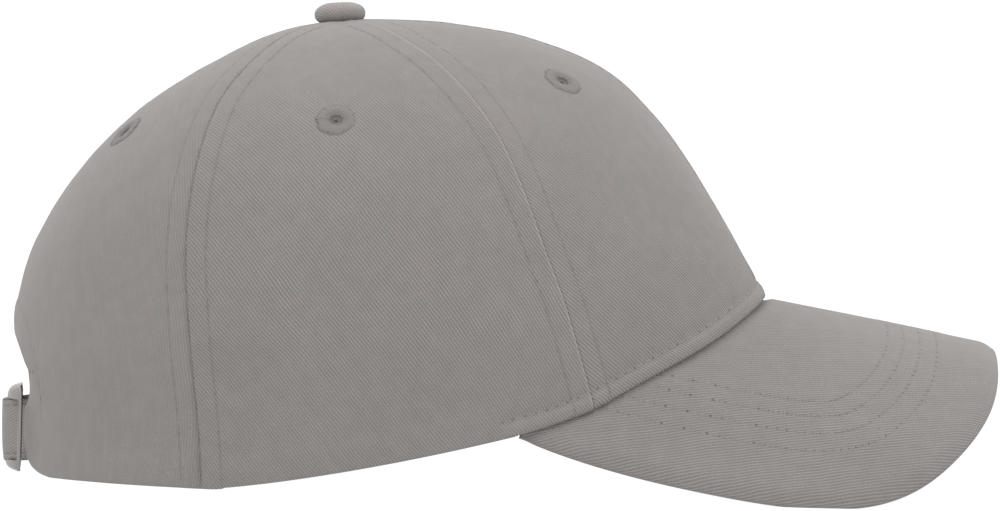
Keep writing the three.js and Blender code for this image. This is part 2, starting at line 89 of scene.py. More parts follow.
# Panels: their seams, grids and seeds
SEAMS = {"front": ("front", "front_side"), "side": ("front_side", "rear_side"), "rear": ("rear_side", "back")}
PANEL_COLUMNS = {"front": 84, "side": 88, "rear": 110}
PANEL_SEEDS = {"front": 1, "side": 2, "rear": 3}
PANEL_ROWS = 150
COLUMN_CROWDING = 0.55
REAR_FAN = 0.2
REAR_LATE_TURN = 7.0
REAR_LATE_TURN_PAST_HEM = 0.12
REAR_LATE_TURN_WIDTH = 0.2

# Hem: where the peak ends, where it reaches the surface, and its fall between them
PEAK_END_AZIMUTH = 70.0
HEM_FLAT_AZIMUTH = 118.0
HEM_HEIGHT_AT_PEAK_END = 16.4
HEM_FALL_POWER = 1.3
HEM_CLEARANCE = 0.15
HEM_ROLL = 0.52
HEM_ROLL_MIDDLE = 1.9
HEM_ROLL_HALF_WIDTH = 2.4

# Peak: ridge line, droop to each side and outline in plan
RIDGE_X = 78.6
RIDGE_Z = 51.6
RIDGE_SLOPE = -0.177
PEAK_DROOP = {
    "across": (-20.0, 0.0, 20.0, 40.0, 60.0, 76.0, 84.0),
    "drop": (3.5, 0.0, 3.5, 12.5, 26.9, 46.4, 59.6),
}
PEAK_WIDEST_X = 53.9
PEAK_HALF_WIDTH = 79.15
PEAK_REACH = 80.0
PEAK_TIP_SQUARENESS = 3.44
PEAK_SIDE_SQUARENESS = 3.22
PEAK_CORNER_X = 4.7
PEAK_CORNER_NARROWING = 3.0
PEAK_CORNER_POWER = 2.6
PEAK_SIDE_SHARE = 0.62
PEAK_CORNER_SHARE = 0.985
PEAK_ROOT_LAP = 3.5
PEAK_EDGE_INSET = 0.45
PEAK_EDGE_CURL = 1.4
PEAK_CURL_FROM = 4.5
PEAK_COLUMNS = 300
PEAK_ROWS = 130
PEAK_UNROLL_REACH = 90

# Rear opening over the strap, with the curl of its edge inward by its height
ARCH_HALF_WIDTH = 32.5
ARCH_SPRING_Z = 19.0
ARCH_TOP_Z = 38.0
ARCH_SQUARENESS = 3.0
ARCH_FOOT_NARROWING = 2.8
ARCH_FOOT_WIDTH = 11.0
ARCH_FOOT_HEIGHT = 3.5
ARCH_HEM_FADE_Z = 8.0
ARCH_HEM_FADE = 14.0
ARCH_BLEND = 4.0
ARCH_FOOT_Y = ARCH_HALF_WIDTH - ARCH_FOOT_NARROWING + ARCH_FOOT_WIDTH
ARCH_CURL = {
    "height": (0.0, 3.0, 8.0, 14.0, 18.0, 20.5, 22.5, 27.0, 31.0, 34.0, 36.5, 38.0, 60.0),
    "curl": (0.2, -0.6, -1.6, -1.8, -1.3, 0.0, 0.6, 0.9, 0.3, 0.0, 0.1, 0.5, 0.5),
}

# Stitching
STITCH_PITCH = 3.2
STITCH_RINGS = 7
STITCH_SIDES = 6
STITCH_SHARES = (0.1, 0.8)
STITCH_SINK = 0.85
STITCH_END_GIRTH = 0.45
STITCH_WIDTH = 1.15
STITCH_HEIGHT = 0.85
THREAD_RADIUS = 0.15
SEAM_THREAD_RADIUS = 0.1
PEAK_THREAD_RADIUS = 0.13
SEAM_TICK_PITCH = 1.35
SEAM_ROW_OFFSET = 5.6
HEM_ROW_OFFSET = 4.4
HEM_ROW_END_AZIMUTH = 73.0
ARCH_ROW_OFFSET = 8.0
ARCH_ROW_FOOT_Z = 17.0
ARCH_JOIN_Z = 27.8
ARCH_JOIN_REACH = 1.2
PEAK_ROW_OFFSETS = (16.6, 21.2, 25.7, 30.0)
PEAK_ROW_SPREAD = 0.27
PEAK_ROW_SPREAD_FROM = 20.0
PEAK_ROW_SPREAD_FADE = 40.0
FAR_FROM_HOLES = 50.0

# Ridges and grooves in the cloth: height, distance of the middle from the seam or edge, and half width.
# A pucker is a ridge that comes and goes with the stitches.
RIDGES = {
    "seam_row": (-0.05, SEAM_ROW_OFFSET, 0.8),
    "seam_waver": (0.05, SEAM_ROW_OFFSET, 3.2),
    "seam_pucker": (0.03, SEAM_ROW_OFFSET, 1.6),
    "side_lap": (0.22, 0.3, 1.6),
    "front_lap": (-0.05, 0.0, 1.4),
    "hem_row": (-0.28, HEM_ROW_OFFSET, 0.6),
    "hem_swell": (0.12, 7.5, 2.4),
    "hem_pucker": (0.05, HEM_ROW_OFFSET - 0.8, 1.6),
    "arch_row": (-0.08, ARCH_ROW_OFFSET, 0.6),
    "arch_pucker": (0.04, ARCH_ROW_OFFSET, 1.6),
    "arch_join": (-0.2, ARCH_JOIN_Z, 0.9),
    "peak_row": (-0.04, 0.0, 0.6),
    "peak_pucker": (0.06, 0.0, 1.8),
    "peak_crease": (0.85, 0.0, 1.5),
    "sweatband_row": (-0.22, 2.0, 0.6),
    "strap_row": (-0.08, 0.0, 0.55),
    "strap_pucker": (0.04, 0.0, 1.2),
}

# Layers of cloth beside a seam or edge: height, how far they reach, and over what width they end
LAYERS = {
    "seam_allowance": (0.12, 4.6, 2.0),
    "seam_tape": (0.5, 5.4, 0.7),
    "plain_hem": (0.22, 6.0, 3.0),
    "arch_hem": (0.24, ARCH_ROW_OFFSET - 0.8, 1.6),
    "sweatband_roll": (0.25, 1.4, 1.0),
}

# Soft waves in the cloth: height, wavelength and seed
WAVES = {
    "panel": (0.35, 60.0, 0),
    "panel_crumple": (0.06, 14.0, 50),
    "peak_rows": (0.1, 22.0, 41),
    "peak": (0.15, 50.0, 42),
    "sweatband": (0.12, 30.0, 61),
    "strap": (0.08, 14.0, 71),
    "button": (0.1, 5.0, 81),
}
WAVE_COUNT = 14
WAVE_SPREAD = (0.7, 1.5)

# Groove along each seam, deeper and shallower by two pitches, and the waver of the cloth beside it
SEAM_GROOVE = 0.26
SEAM_GROOVE_CHANGE = 0.1
SEAM_GROOVE_HALF_WIDTH = 0.42
SEAM_GROOVE_PITCHES = (5.1, 11.7)
SEAM_WAVER_PITCHES = (17.0, 9.3)
SEAM_TICK_REACH = 1.2
LAP_REACH = 2.0
LAP_GROOVE_LOSS = 0.9
SWELL_FROM = 4.0
SWELL_FADE = 14.0
HEM_SHARE_AT_SEAM = 0.35
EDGE_TUCK_REACH = 3.5

# Vent eyelets: a ring of thread round each hole, and the bore below it
EYELET_RADIUS = 5.4
EYELET_HOLE_RADIUS = 1.6
EYELET_RELIEF = 0.6
EYELET_THREADS = 44
EYELET_THREAD_SIDES = 6
EYELET_UNDER_RADIUS = 3.9
EYELET_THREAD_SWELL = 0.08
EYELET_UNEVENNESS = 0.03
EYELET_RAGGEDNESS = 0.28
EYELET_RAGGED_ROWS = 5
EYELET_BED = (3.4, 6.0)
EYELET_PLACES = {"front": (30.2, 0.470), "side": (92.8, 0.4025), "rear": (153.9, 0.4165)}
EYELET_BORE = {
    "depth": (0.1, 0.25, 0.38, 0.44, 0.46, 0.48, 0.55, 1.2, 2.0),
    "radius": (1.6, 1.57, 1.5, 1.35, 1.0, 0.4, 0.25, 0.25, 0.9),
}
CLOTH_HOLE_RADIUS = 3.2
CROWN_RADIUS = 95.0

# Sweatband
SWEATBAND_SHARES = (0.80, 0.985)
SWEATBAND_END_AZIMUTH = 144.0
SWEATBAND_ROWS = 26
SWEATBAND_COLUMNS = 260
SWEATBAND_EXTRA_WALL = 0.15

# Strap, threaded under the ends of the buckle and over its middle bar: how far it stands off the
# crown by the distance from the middle, and where it turns from upright to lying on the crown
STRAP_SHARES = (0.8825, 0.9785)
STRAP_END_AZIMUTH = 146.0
STRAP_ROWS = 30
STRAP_COLUMNS = 220
STRAP_UPRIGHT_TO = 12.0
STRAP_LEANS_FROM = 28.0
STRAP_STAND = {
    "across": (-2.6, 0.0, 2.6, 5.6, 8.6, 12.0, 60.0),
    "stand": (3.4, 3.7, 3.4, 1.2, -1.0, -2.1, -1.9),
}
STRAP_BULGE = 0.8
STRAP_BULGE_TO = 8.0
STRAP_CREST = 0.7
STRAP_ROW_INSET = 1.4

# Slide buckle: a stamped frame, bowed across and domed to a flat rim, with a middle bar
BUCKLE_OUTER_X = -131.8
BUCKLE_DEPTH = 3.7
BUCKLE_HALF_WIDTH = 12.0
BUCKLE_HALF_HEIGHT = 11.6
BUCKLE_MIDDLE_Z = 11.7
BUCKLE_CORNER = 2.4
BUCKLE_WINDOW_CORNER = 0.8
BUCKLE_TOP_RAIL = 3.7
BUCKLE_LOW_RAIL = 2.6
BUCKLE_END_BAR = 0.9
BUCKLE_BOW_RADIUS = 21.5
BUCKLE_TURN = 0.07
BUCKLE_TURN_FROM = 13.0
BUCKLE_TURN_FADE = 14.0
BUCKLE_SHEET = 0.55
BUCKLE_BAR_WIDTH = 3.0
BUCKLE_BAR_INSET = 0.6
BUCKLE_EDGE_SQUARENESS = 0.45
BUCKLE_RAIL_SQUARENESS = 2.5
BUCKLE_CORNER_STEPS = 9
BUCKLE_SIDE_STEPS = 26
BUCKLE_ROWS = 18

# Top button: a domed top, and below its widest line a waist that draws in to the crown
BUTTON_RADIUS = 6.8
BUTTON_HEIGHT = 5.5
BUTTON_SEAT = -0.5
BUTTON_WIDEST = 1.9
BUTTON_WAIST = 2.3
BUTTON_LEAN = 4.6
BUTTON_COLUMNS = 120

# Colours
COTTON_COLOUR = (0.235, 0.221, 0.211)
PEAK_COLOUR = (0.229, 0.2155, 0.206)
BUTTON_COLOUR = (0.284, 0.268, 0.256)
STRAP_COLOUR = (0.265, 0.249, 0.238)
TAPE_COLOUR = (0.215, 0.203, 0.194)
THREAD_COLOUR = (0.222, 0.209, 0.2)
BRIGHT_THREAD_COLOUR = (0.28, 0.265, 0.253)
EYELET_COLOUR = (0.211, 0.199, 0.19)
STEEL_COLOUR = (0.274, 0.257, 0.243)

# Twill: the pitch and slant of its ribs, their floats, and the bump and tones of the weave
UV_MM = 100.0
WALE_PITCH = 0.785
PEAK_WALE_PITCH = 0.82
TAPE_PITCH = 0.5
WALE_ANGLE = 33.0
PEAK_WALE_ANGLE = 21.5
STRAP_WALE_ANGLE = 112.0
TAPE_ANGLE = 45.0
WALE_WANDER = 0.9
WALE_WANDER_SCALE = 0.06
FLOAT_LENGTH = 0.75
FLOAT_STAGGER = 0.37
FLOAT_END = 0.62
WEAVE_DEPTH = 0.12
FIBRE_HEIGHT = 0.35
STREAK_HEIGHT = 0.2
RIB_TONE_LOW = 0.782
RIB_TONE_HIGH = 1.166
RIB_TONE_MIDDLE = 0.93
STRAP_CONTRAST = 0.9
BUTTON_CONTRAST = 0.7

# Lighter and darker clouds in the cotton: scale to the right and down, detail, half the range of
# the noise that counts, and the change of tone. The streaks lie along the ribs.
CLOUDS = {
    "fibres": (2.6, 2.6, 3.0, 0.3, 0.11),
    "mottle": (0.22, 0.22, 2.0, 0.2, 0.025),
    "streaks": (0.8, 0.035, 1.0, 0.25, 0.02),
    "blotches": (0.035, 0.035, 3.0, 0.2, 0.02),
}

# Needle holes: half length, half width and darkening, which is painted shade in each hole
HOLES = {"seam": (0.9, 0.42, 0.2), "edge": (0.4, 0.32, 0.5)}
# Painted highlight along the edge that laps the front side seam, and below it painted shade of LAP_SHADE its
# size
LAP_HIGHLIGHT_AND_SHADE = 0.2
LAP_SHADE = 0.15
# Painted shade towards the rim of an eyelet's ring
RIM_SHADE_TONE = 0.8
# Painted highlight over the rolled hem
HEM_HIGHLIGHT_TONE = 1.07

# How far the twill is turned on each panel: distances down it, and degrees there.
# Then how fast the turn changes to the right, and from which distance down.
WEAVE_TURN = {
    "front": ((0, 60, 88, 105, 120, 150), (18, 18, 14, 5, 3, 1)),
    "side": ((0, 50, 75, 105, 124, 150), (0, 1, 6.5, 7.5, 3.5, -1)),
    "rear": ((0, 80, 104, 120, 137, 153), (-8, -8, -2, 0, 6, 6)),
}
WEAVE_SHEAR = {"front": (0.0016, 120.0), "side": (0.0002, 100.0), "rear": (-0.003, 110.0)}
CLOTH_DEPTHS = np.linspace(0.0, 240.0, 481)

# How clearly the ribs show, worn smooth near the top: distances down a panel, and contrast there.
# On the front panels the worn edge slants, and on the peak the distances are from its middle.
WEAVE_CONTRAST = {
    "front": ((0, 72, 94, 111, 122, 150), (0.0, 0.05, 0.8, 1.0, 1.2, 1.1)),
    "side": ((0, 38, 50, 62, 80, 125, 145), (0.08, 0.12, 0.5, 0.9, 1.12, 1.12, 0.9)),
    "rear": ((0, 50, 75), (0.25, 0.35, 1.0)),
    "peak": ((12, 30, 50), (0.05, 0.65, 1.05)),
}
FRONT_WEAR_SLANT = 0.7
FRONT_WEAR_SHIFT = 17.0
REAR_PLAIN_CONTRAST = 0.08
REAR_SEAM_CONTRAST = 0.5
REAR_SEAM_CONTRAST_REACH = 10.0

# Photograph's view: the camera's distance and height above the middle of the cap, its roll, and
# the size at that distance of one pixel of the 1000 pixel wide frame
CAMERA_DISTANCE = 1800.0
CAMERA_ELEVATION = 0.8
CAMERA_ROLL = 1.73
CAMERA_TARGET_Z = 61.8
PIXEL_SIZE = 0.27
FRAME_WIDTH = 1000
SENSOR_WIDTH = 36.0

# Light from all round: white at the horizon, brighter overhead, dim behind the camera
SKY_HORIZON = 1.03
SKY_OVERHEAD = 0.78
DIM_START = 0.80
DIM_FULL = 0.97
DIM_COLOUR = (0.68, 0.52, 0.54, 1.0)
WHITE = (1.0, 1.0, 1.0, 1.0)
FLOOR_HALF_SIZE = 12.0

# The CAD origin is the middle of the box that the solids fill
CAD_PEAK_TIP_X = 133.1
ORIGIN_SHIFT = np.array([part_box("peak")[1][0] / MM - CAD_PEAK_TIP_X, 0.0, 0.0])


# Curves and surfaces

def rise(value, start, width):
    """A smooth step from 0 at start to 1 a width further on."""
    held = np.clip((value - start) / width, 0.0, 1.0)
    return held * held * (3.0 - 2.0 * held)


def fall(value, start, width):
    return 1 - rise(value, start, width)


def bell(value, middle, width):
    return np.exp(-(((value - middle) / width) ** 2))


def ridge(name, distance):
    """A ridge or groove of the table, at each distance."""
    height, middle, half_width = RIDGES[name]
    return height * bell(distance, middle, half_width)


def pucker(name, distance, along):
    return ridge(name, distance) * np.cos(TURN * along / STITCH_PITCH)


def layer(name, distance):
    height, reach, end_width = LAYERS[name]
    return height * fall(distance, reach, end_width)


def waves(name, points, seed=0):
    """Smooth waves through space, between about the height of the table and as far below."""
    height, wavelength, own_seed = WAVES[name]
    random = np.random.default_rng(own_seed + seed)
    total = np.zeros(points.shape[:-1])
    for _ in range(WAVE_COUNT):
        direction = normalised(random.normal(size=3))
        length = wavelength * random.uniform(*WAVE_SPREAD)
        phase = random.uniform(0, TURN)
        total += np.cos(points @ direction * (TURN / length) + phase)
    return height * total / math.sqrt(WAVE_COUNT / 2) / 2


def stack(*parts):
    """Arrays joined along a new last axis."""
    return np.stack(np.broadcast_arrays(*parts), axis=-1)


def mirrored(points):
    return points * np.array([1.0, -1.0, 1.0])


def normalised(vectors):
    return vectors / np.maximum(np.linalg.norm(vectors, axis=-1, keepdims=True), 1e-9)


def table_value(table, name, at):
    """Values of a table's named column, on a smooth curve over its first column."""
    keys = np.array(next(iter(table.values())), float)
    values = np.array(table[name], float)
    count = len(keys)
    before = np.maximum(np.arange(count) - 1, 0)
    after = np.minimum(np.arange(count) + 1, count - 1)
    slopes = (values[after] - values[before]) / (keys[after] - keys[before])
    at = np.asarray(at, float)
    row = np.clip(np.searchsorted(keys, at) - 1, 0, count - 2)
    span = keys[row + 1] - keys[row]
    along = (at - keys[row]) / span
    square = along ** 2
    cube = along ** 3
    return (
        (2 * cube - 3 * square + 1) * values[row]
        + (cube - 2 * square + along) * span * slopes[row]
        + (3 * square - 2 * cube) * values[row + 1]
        + (cube - square) * span * slopes[row + 1]
    )


def peak_top_height(x, y):
    droop = table_value(PEAK_DROOP, "drop", np.abs(y))
    return RIDGE_Z + RIDGE_SLOPE * (x - RIDGE_X) - droop


def crown_plan(azimuth, share):
    """Plan position of the crown, and the height that its three meridians alone would give."""
    azimuth, share = np.broadcast_arrays(np.asarray(azimuth, float), np.asarray(share, float))
    angle = np.radians(azimuth)
    forward = np.cos(angle)
    station = {name: table_value(STATIONS, name, share) for name in STATIONS}
    in_front = forward > 0
    fullness = np.where(in_front, 1.0, 1.0 + REAR_FULLNESS * np.sin(2 * angle) ** 2)
    to_front = station["front_x"] - station["side_x"]
    to_back = station["side_x"] - station["back_x"]
    sweep = np.abs(forward) ** np.where(in_front, FRONT_SWEEP, REAR_SWEEP)
    end_z = np.where(in_front, station["front_z"], station["back_z"])
    x = station["side_x"] + np.where(in_front, to_front, to_back) * forward * fullness
    y = station["side_y"] * np.sin(angle) * fullness
    z = station["side_z"] + (end_z - station["side_z"]) * sweep
    return x, y, z


def hem_height(azimuth):
    turn = np.abs(azimuth)
    turn = np.where(turn > 180, 360 - turn, turn)
    x, y, _ = crown_plan(azimuth, 1.0)
    over_peak = peak_top_height(x, y) + HEM_CLEARANCE
    left = np.clip((HEM_FLAT_AZIMUTH - turn) / (HEM_FLAT_AZIMUTH - PEAK_END_AZIMUTH), 0, None)
    behind = HEM_HEIGHT_AT_PEAK_END * left ** HEM_FALL_POWER
    return np.where(turn < PEAK_END_AZIMUTH, over_peak, behind)


def crown_skin(azimuth, share):
    x, y, z = crown_plan(azimuth, share)
    _, _, plain_hem = crown_plan(azimuth, 1.0)
    fit = (hem_height(azimuth) - plain_hem) * np.asarray(share, float) ** HEM_FIT_POWER
    return stack(x, y, z + fit)


def crown_normal(azimuth, share):
    around = crown_skin(azimuth + 0.5, share) - crown_skin(azimuth - 0.5, share)
    down = crown_skin(azimuth, share + 0.01) - crown_skin(azimuth, share - 0.01)
    return normalised(np.cross(down, around))


def crown_place(y, z, azimuth, share):
    """Azimuth and share of the crown's points at a given y and z, starting from a guess."""
    for _ in range(12):
        here = crown_skin(azimuth, share)
        around = (crown_skin(azimuth + 0.1, share) - here) / 0.1
        down = (crown_skin(azimuth, share + 0.001) - here) / 0.001
        miss_y = y - here[..., 1]
        miss_z = z - here[..., 2]
        spread = around[..., 1] * down[..., 2] - down[..., 1] * around[..., 2]
        azimuth = azimuth + (miss_y * down[..., 2] - down[..., 1] * miss_z) / spread
        share = share + (around[..., 1] * miss_z - around[..., 2] * miss_y) / spread
    return azimuth, share


def cumulative_length(points):
    steps = np.linalg.norm(np.diff(points, axis=0), axis=-1)
    return np.concatenate([np.zeros((1,) + steps.shape[1:]), np.cumsum(steps, axis=0)])


def points_along(at, lengths, line):
    return stack(*(np.interp(at, lengths, line[:, axis]) for axis in range(line.shape[1])))


def distance_to_line(points, line, block=4000):
    """Distance of each point to a polyline, and how far along the line its nearest place is."""
    lengths = cumulative_length(line)
    tangents = normalised(np.gradient(line, axis=0))
    flat = points.reshape(-1, 3)
    result = np.empty((2, len(flat)))
    for start in range(0, len(flat), block):
        offsets = flat[start:start + block, None, :] - line[None, :, :]
        nearest = np.argmin(np.einsum("ijk,ijk->ij", offsets, offsets), axis=1)
        offset = offsets[np.arange(len(offsets)), nearest]
        tangent = tangents[nearest]
        forward = np.einsum("ij,ij->i", offset, tangent)
        forward = np.where((nearest == 0) & (forward < 0), 0, forward)
        forward = np.where((nearest == len(line) - 1) & (forward > 0), 0, forward)
        result[0, start:start + block] = np.linalg.norm(offset - forward[:, None] * tangent, axis=1)
        result[1, start:start + block] = lengths[nearest] + forward
    return result.reshape((2,) + points.shape[:-1])


def unroll(points, normals):
    """Flat cloth coordinates of a grid, to the right and down from its middle column."""
    rows, columns = points.shape[:2]
    middle = columns // 2
    flat = np.zeros((rows, columns, 2))
    flat[:, middle, 1] = cumulative_length(points[:, middle])
    start_down = normalised(np.gradient(points[:, middle], axis=0))
    for side in (1, -1):
        down = start_down
        right = np.cross(normals[:, middle], down)
        column = middle
        while 0 <= column + side < columns:
            normal = normals[:, column + side]
            next_down = normalised(down - normal * np.sum(down * normal, axis=-1, keepdims=True))
            next_right = np.cross(normal, next_down)
            step = points[:, column + side] - points[:, column]
            moves = [np.sum(step * way, axis=-1) / 2 for way in (right + next_right, down + next_down)]
            flat[:, column + side] = flat[:, column] + stack(*moves)
            down = next_down
            right = next_right
            column += side
    return flat


def turned_weave(flat, place):
    """Cloth coordinates to the right and down, with the twill turned by the table of its panel."""
    slant = math.radians(WALE_ANGLE)
    turn = np.radians(np.interp(CLOTH_DEPTHS, *WEAVE_TURN[place]))
    slope = math.sin(slant) - math.cos(slant) * np.tan(slant - turn)
    shift = np.concatenate([[0.0], np.cumsum((slope[1:] + slope[:-1]) / 2 * np.diff(CLOTH_DEPTHS))])
    right, down = np.moveaxis(flat, -1, 0)
    shear, shear_from = WEAVE_SHEAR[place]
    moved = np.interp(down, CLOTH_DEPTHS, shift) - shear * right * (down - shear_from)
    return stack(right + moved / math.cos(slant), down)


def rib_contrast(place, flat, rear_seam_distance):
    """How clearly the ribs show at each point of a panel."""
    right, down = np.moveaxis(flat, -1, 0)
    if place == "front":
        down = down - FRONT_WEAR_SLANT * (right + FRONT_WEAR_SHIFT)
    contrast = np.interp(down, *WEAVE_CONTRAST[place])
    if place == "rear":
        near_seam = bell(rear_seam_distance, 0.0, REAR_SEAM_CONTRAST_REACH)
        contrast = contrast * (REAR_PLAIN_CONTRAST + REAR_SEAM_CONTRAST * near_seam)
    return contrast


# Meshes

def add_object(name, data):
    added = bpy.data.objects.new(name, data)
    bpy.context.scene.collection.objects.link(added)
    return added


def write_mesh(name, points, faces, maps, material, node=None):
    """A smooth mesh object that rides on the cap, flat where it rests, in place of a node of the CAD."""
    slot, look = MATERIALS[material]
    points = points.reshape(-1, 3)
    points = np.column_stack([points[:, :2], np.maximum(points[:, 2], REST_HEIGHT)])
    mesh = bpy.data.meshes.new(name)
    mesh.from_pydata(((points + ORIGIN_SHIFT) * MM).tolist(), [], faces)
    loop_vertices = np.empty(len(mesh.loops), int)
    mesh.loops.foreach_get("vertex_index", loop_vertices)
    for map_name, values in maps.items():
        corners = values.reshape(-1, 2)[loop_vertices] / UV_MM
        mesh.uv_layers.new(name=map_name).data.foreach_set("uv", corners.astype(np.float32).ravel())
    mesh.materials.append(look)
    mesh.shade_smooth()
    mesh.validate()
    piece = add_object(name, mesh)
    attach(piece, "root")
    if node:
        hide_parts(node)


def grid_faces(rows, columns, wrap_rows=False, wrap_columns=False, flip=False, keep=None):
    """Quads of a grid whose rows run down and columns run right, seen from its front."""
    row = np.arange(rows if wrap_rows else rows - 1)
    column = np.arange(columns if wrap_columns else columns - 1)
    row, column = np.meshgrid(row, column, indexing="ij")
    if keep is None:
        keep = np.ones(row.shape, bool)
    row = row[keep]
    column = column[keep]
    below = (row + 1) % rows * columns
    right = (column + 1) % columns
    corners = [row * columns + column, below + column, below + right, row * columns + right]
    if flip:
        corners.reverse()
    return np.stack(corners, axis=1).tolist()


def shifted(faces, first):
    return [[corner + first for corner in face] for face in faces]


def edge_outward(base, normals):
    """The direction out of the last row of a grid, in the cloth's plane, one for each column."""
    outward = normalised(np.cross(normalised(np.gradient(base[-1], axis=0)), normals[-1]))
    return outward * np.sign(np.sum(outward * (base[-1] - base[-3])))


def folded_shell(outer, normals, outward, depth):
    """Rows of a cloth sheet: down its outside, round the fold at its free edge, and up its inside."""
    inner = outer - normals * depth[..., None]
    centre = (outer[-1] + inner[-1]) / 2
    arm = (outer[-1] - inner[-1]) / 2
    radius = np.linalg.norm(arm, axis=-1, keepdims=True)
    angle = math.pi * np.arange(1, FOLD_STEPS + 1)[:, None, None] / (FOLD_STEPS + 1)
    fold = centre + arm * np.cos(angle) + outward * radius * np.sin(angle)
    return np.concatenate([outer, fold, inner[::-1]])


def round_fold(front, fold):
    """Values on a folded shell that are the same on both of its sides."""
    fold = np.broadcast_to(fold, (FOLD_STEPS,) + front.shape[1:])
    return np.concatenate([front, fold, front[::-1]])


def front_only(front, blank):
    """Values on the outside of a folded shell, with a blank value on the fold and the inside."""
    return np.concatenate([front, np.full((FOLD_STEPS + len(front),) + front.shape[1:], blank)])


def shell_faces(rows, columns, keep=True, flip=False):
    """Faces of a folded shell, closed along its top and both ends, without the cells that aren't kept."""
    total = 2 * rows + FOLD_STEPS
    keep = np.broadcast_to(keep, (rows - 1, columns - 1))
    mask = np.ones((total - 1, columns - 1), bool)
    mask[:rows - 1] = keep
    mask[rows + FOLD_STEPS:] = keep[::-1]
    faces = grid_faces(total, columns, flip=flip, keep=mask)
    index = np.arange(total * columns).reshape(total, columns)
    top = np.stack([index[0, :-1], index[0, 1:], index[-1, 1:], index[-1, :-1]], axis=1).tolist()
    faces.extend(face[::-1] if flip else face for face in top)
    for column, turned in ((0, False), (columns - 1, True)):
        line = index[:, column].tolist()
        rim = [[line[row], line[-1 - row], line[-2 - row], line[row + 1]] for row in range(rows - 1)]
        rim.append([line[rows - 1]] + line[rows:rows + FOLD_STEPS + 1][::-1])
        faces.extend(face[::-1] if turned != flip else face for face in rim)
    return faces


def joined(parts):
    """The points, faces and cloth coordinates of many parts as one."""
    points, faces, weave = [], [], []
    start = 0
    for part_points, part_faces, part_weave in parts:
        points.append(part_points.reshape(-1, 3))
        faces.extend(shifted(part_faces, start))
        weave.append(part_weave.reshape(-1, 2))
        start += len(points[-1])
    return np.concatenate(points), faces, {"weave": np.concatenate(weave)}


# Shader nodes

class Value:
    """An output of a shader node, with arithmetic that adds the nodes for it."""

    def __init__(self, socket):
        self.socket = socket
        self.tree = socket.id_data

    def math(self, operation, *others):
        return Value(add_node(self.tree, "Math", self, *others, operation=operation).outputs[0])

    def __add__(self, other):
        return self.math("ADD", other)

    def __sub__(self, other):
        return self.math("SUBTRACT", other)

    def __mul__(self, other):
        return self.math("MULTIPLY", other)

    def __truediv__(self, other):
        return self.math("DIVIDE", other)

    def wave(self):
        """Cosine of this many turns."""
        return (self * TURN).math("COSINE")

    def ramp(self, from_low, from_high, to_low, to_high, interpolation="LINEAR"):
        values = (self, from_low, from_high, to_low, to_high)
        return Value(add_node(self.tree, "MapRange", *values, interpolation_type=interpolation).outputs[0])

    def shade(self, colour):
        """A colour made brighter or darker by this factor."""
        node = add_node(self.tree, "VectorMath", colour, operation="SCALE")
        set_inputs(node, {"Scale": self})
        return Value(node.outputs[0])


def plug(value, socket):
    """Link a value to an input, or set the input to a constant."""
    if isinstance(value, Value):
        value.tree.links.new(value.socket, socket)
    else:
        socket.default_value = value


def set_inputs(node, values):
    for name, value in values.items():
        plug(value, node.inputs[name])


def add_node(tree, kind, *values, **settings):
    """A shader node with its settings and the values of its first inputs."""
    node = tree.nodes.new("ShaderNode" + kind)
    for name, setting in settings.items():
        setattr(node, name, setting)
    for value, socket in zip(values, node.inputs):
        plug(value, socket)
    return node


def cloth_map(tree, name):
    """The two coordinates of a UV map, in millimetres."""
    parts = add_node(tree, "SeparateXYZ", Value(add_node(tree, "UVMap", uv_map=name).outputs["UV"]))
    return [Value(parts.outputs[axis]) * UV_MM for axis in range(2)]


def noise(x, y, scale_x, scale_y, detail=2.0):
    """Noise over two coordinates, with its own stretch along each, from 0 to 1."""
    joined_xy = add_node(x.tree, "CombineXYZ", x * scale_x, y * scale_y)
    node = add_node(x.tree, "TexNoise", noise_dimensions="2D")
    set_inputs(node, {"Vector": Value(joined_xy.outputs[0]), "Scale": 1.0, "Detail": detail})
    return Value(node.outputs["Fac"])


def bump(height, depth):
    node = add_node(height.tree, "Bump")
    set_inputs(node, {"Strength": 1.0, "Distance": depth * MM, "Height": height})
    return Value(node.outputs["Normal"])


def new_material(name):
    """A material and its shader."""
    material = bpy.data.materials.new(name)
    material.use_nodes = True
    return material, material.node_tree.nodes["Principled BSDF"]


def opposite(value):
    """1 less a value."""
    return value * -1.0 + 1.0


def needle_hole_shade(tree, map_name, kind, lap):
    """Painted shade at the needle holes of stitched rows: a map holds the distance from a row and along it.
    """
    half_length, half_width, darkening = HOLES[kind]
    offset, along = cloth_map(tree, map_name)
    hole_x = ((along / STITCH_PITCH + 0.5).math("FRACT") - 0.5) * (STITCH_PITCH / half_length)
    hole_y = offset / half_width
    distance = (hole_x * hole_x + hole_y * hole_y).math("SQRT")
    dark = distance.ramp(0.5, 1.5, darkening, 0.0)
    patchy = noise(along, offset, 0.3, 0.02).ramp(0.38, 0.62, 0.2, 1.0)
    return opposite(dark * patchy * opposite(lap.math("ABSOLUTE")))


def hem_highlight(tree):
    """Painted highlight over the rolled hem: paler cloth where the raised roll catches the light."""
    offset, _ = cloth_map(tree, "edge_stitch")
    from_middle = (offset + (HEM_ROW_OFFSET / 2 + 0.2)).math("ABSOLUTE")
    return from_middle.ramp(1.0, 2.2, HEM_HIGHLIGHT_TONE, 1.0)


def lap_highlight_and_shade(tree, lap):
    """Painted highlight along the edge of the cloth that laps a seam, and painted shade on the cloth below
    it.
    """
    offset, _ = cloth_map(tree, "stitch")
    gap = (offset + 0.3).math("ABSOLUTE")
    return gap.ramp(0.1, 0.45, LAP_HIGHLIGHT_AND_SHADE, 0.0) * lap.math("MAXIMUM", -LAP_SHADE) + 1.0


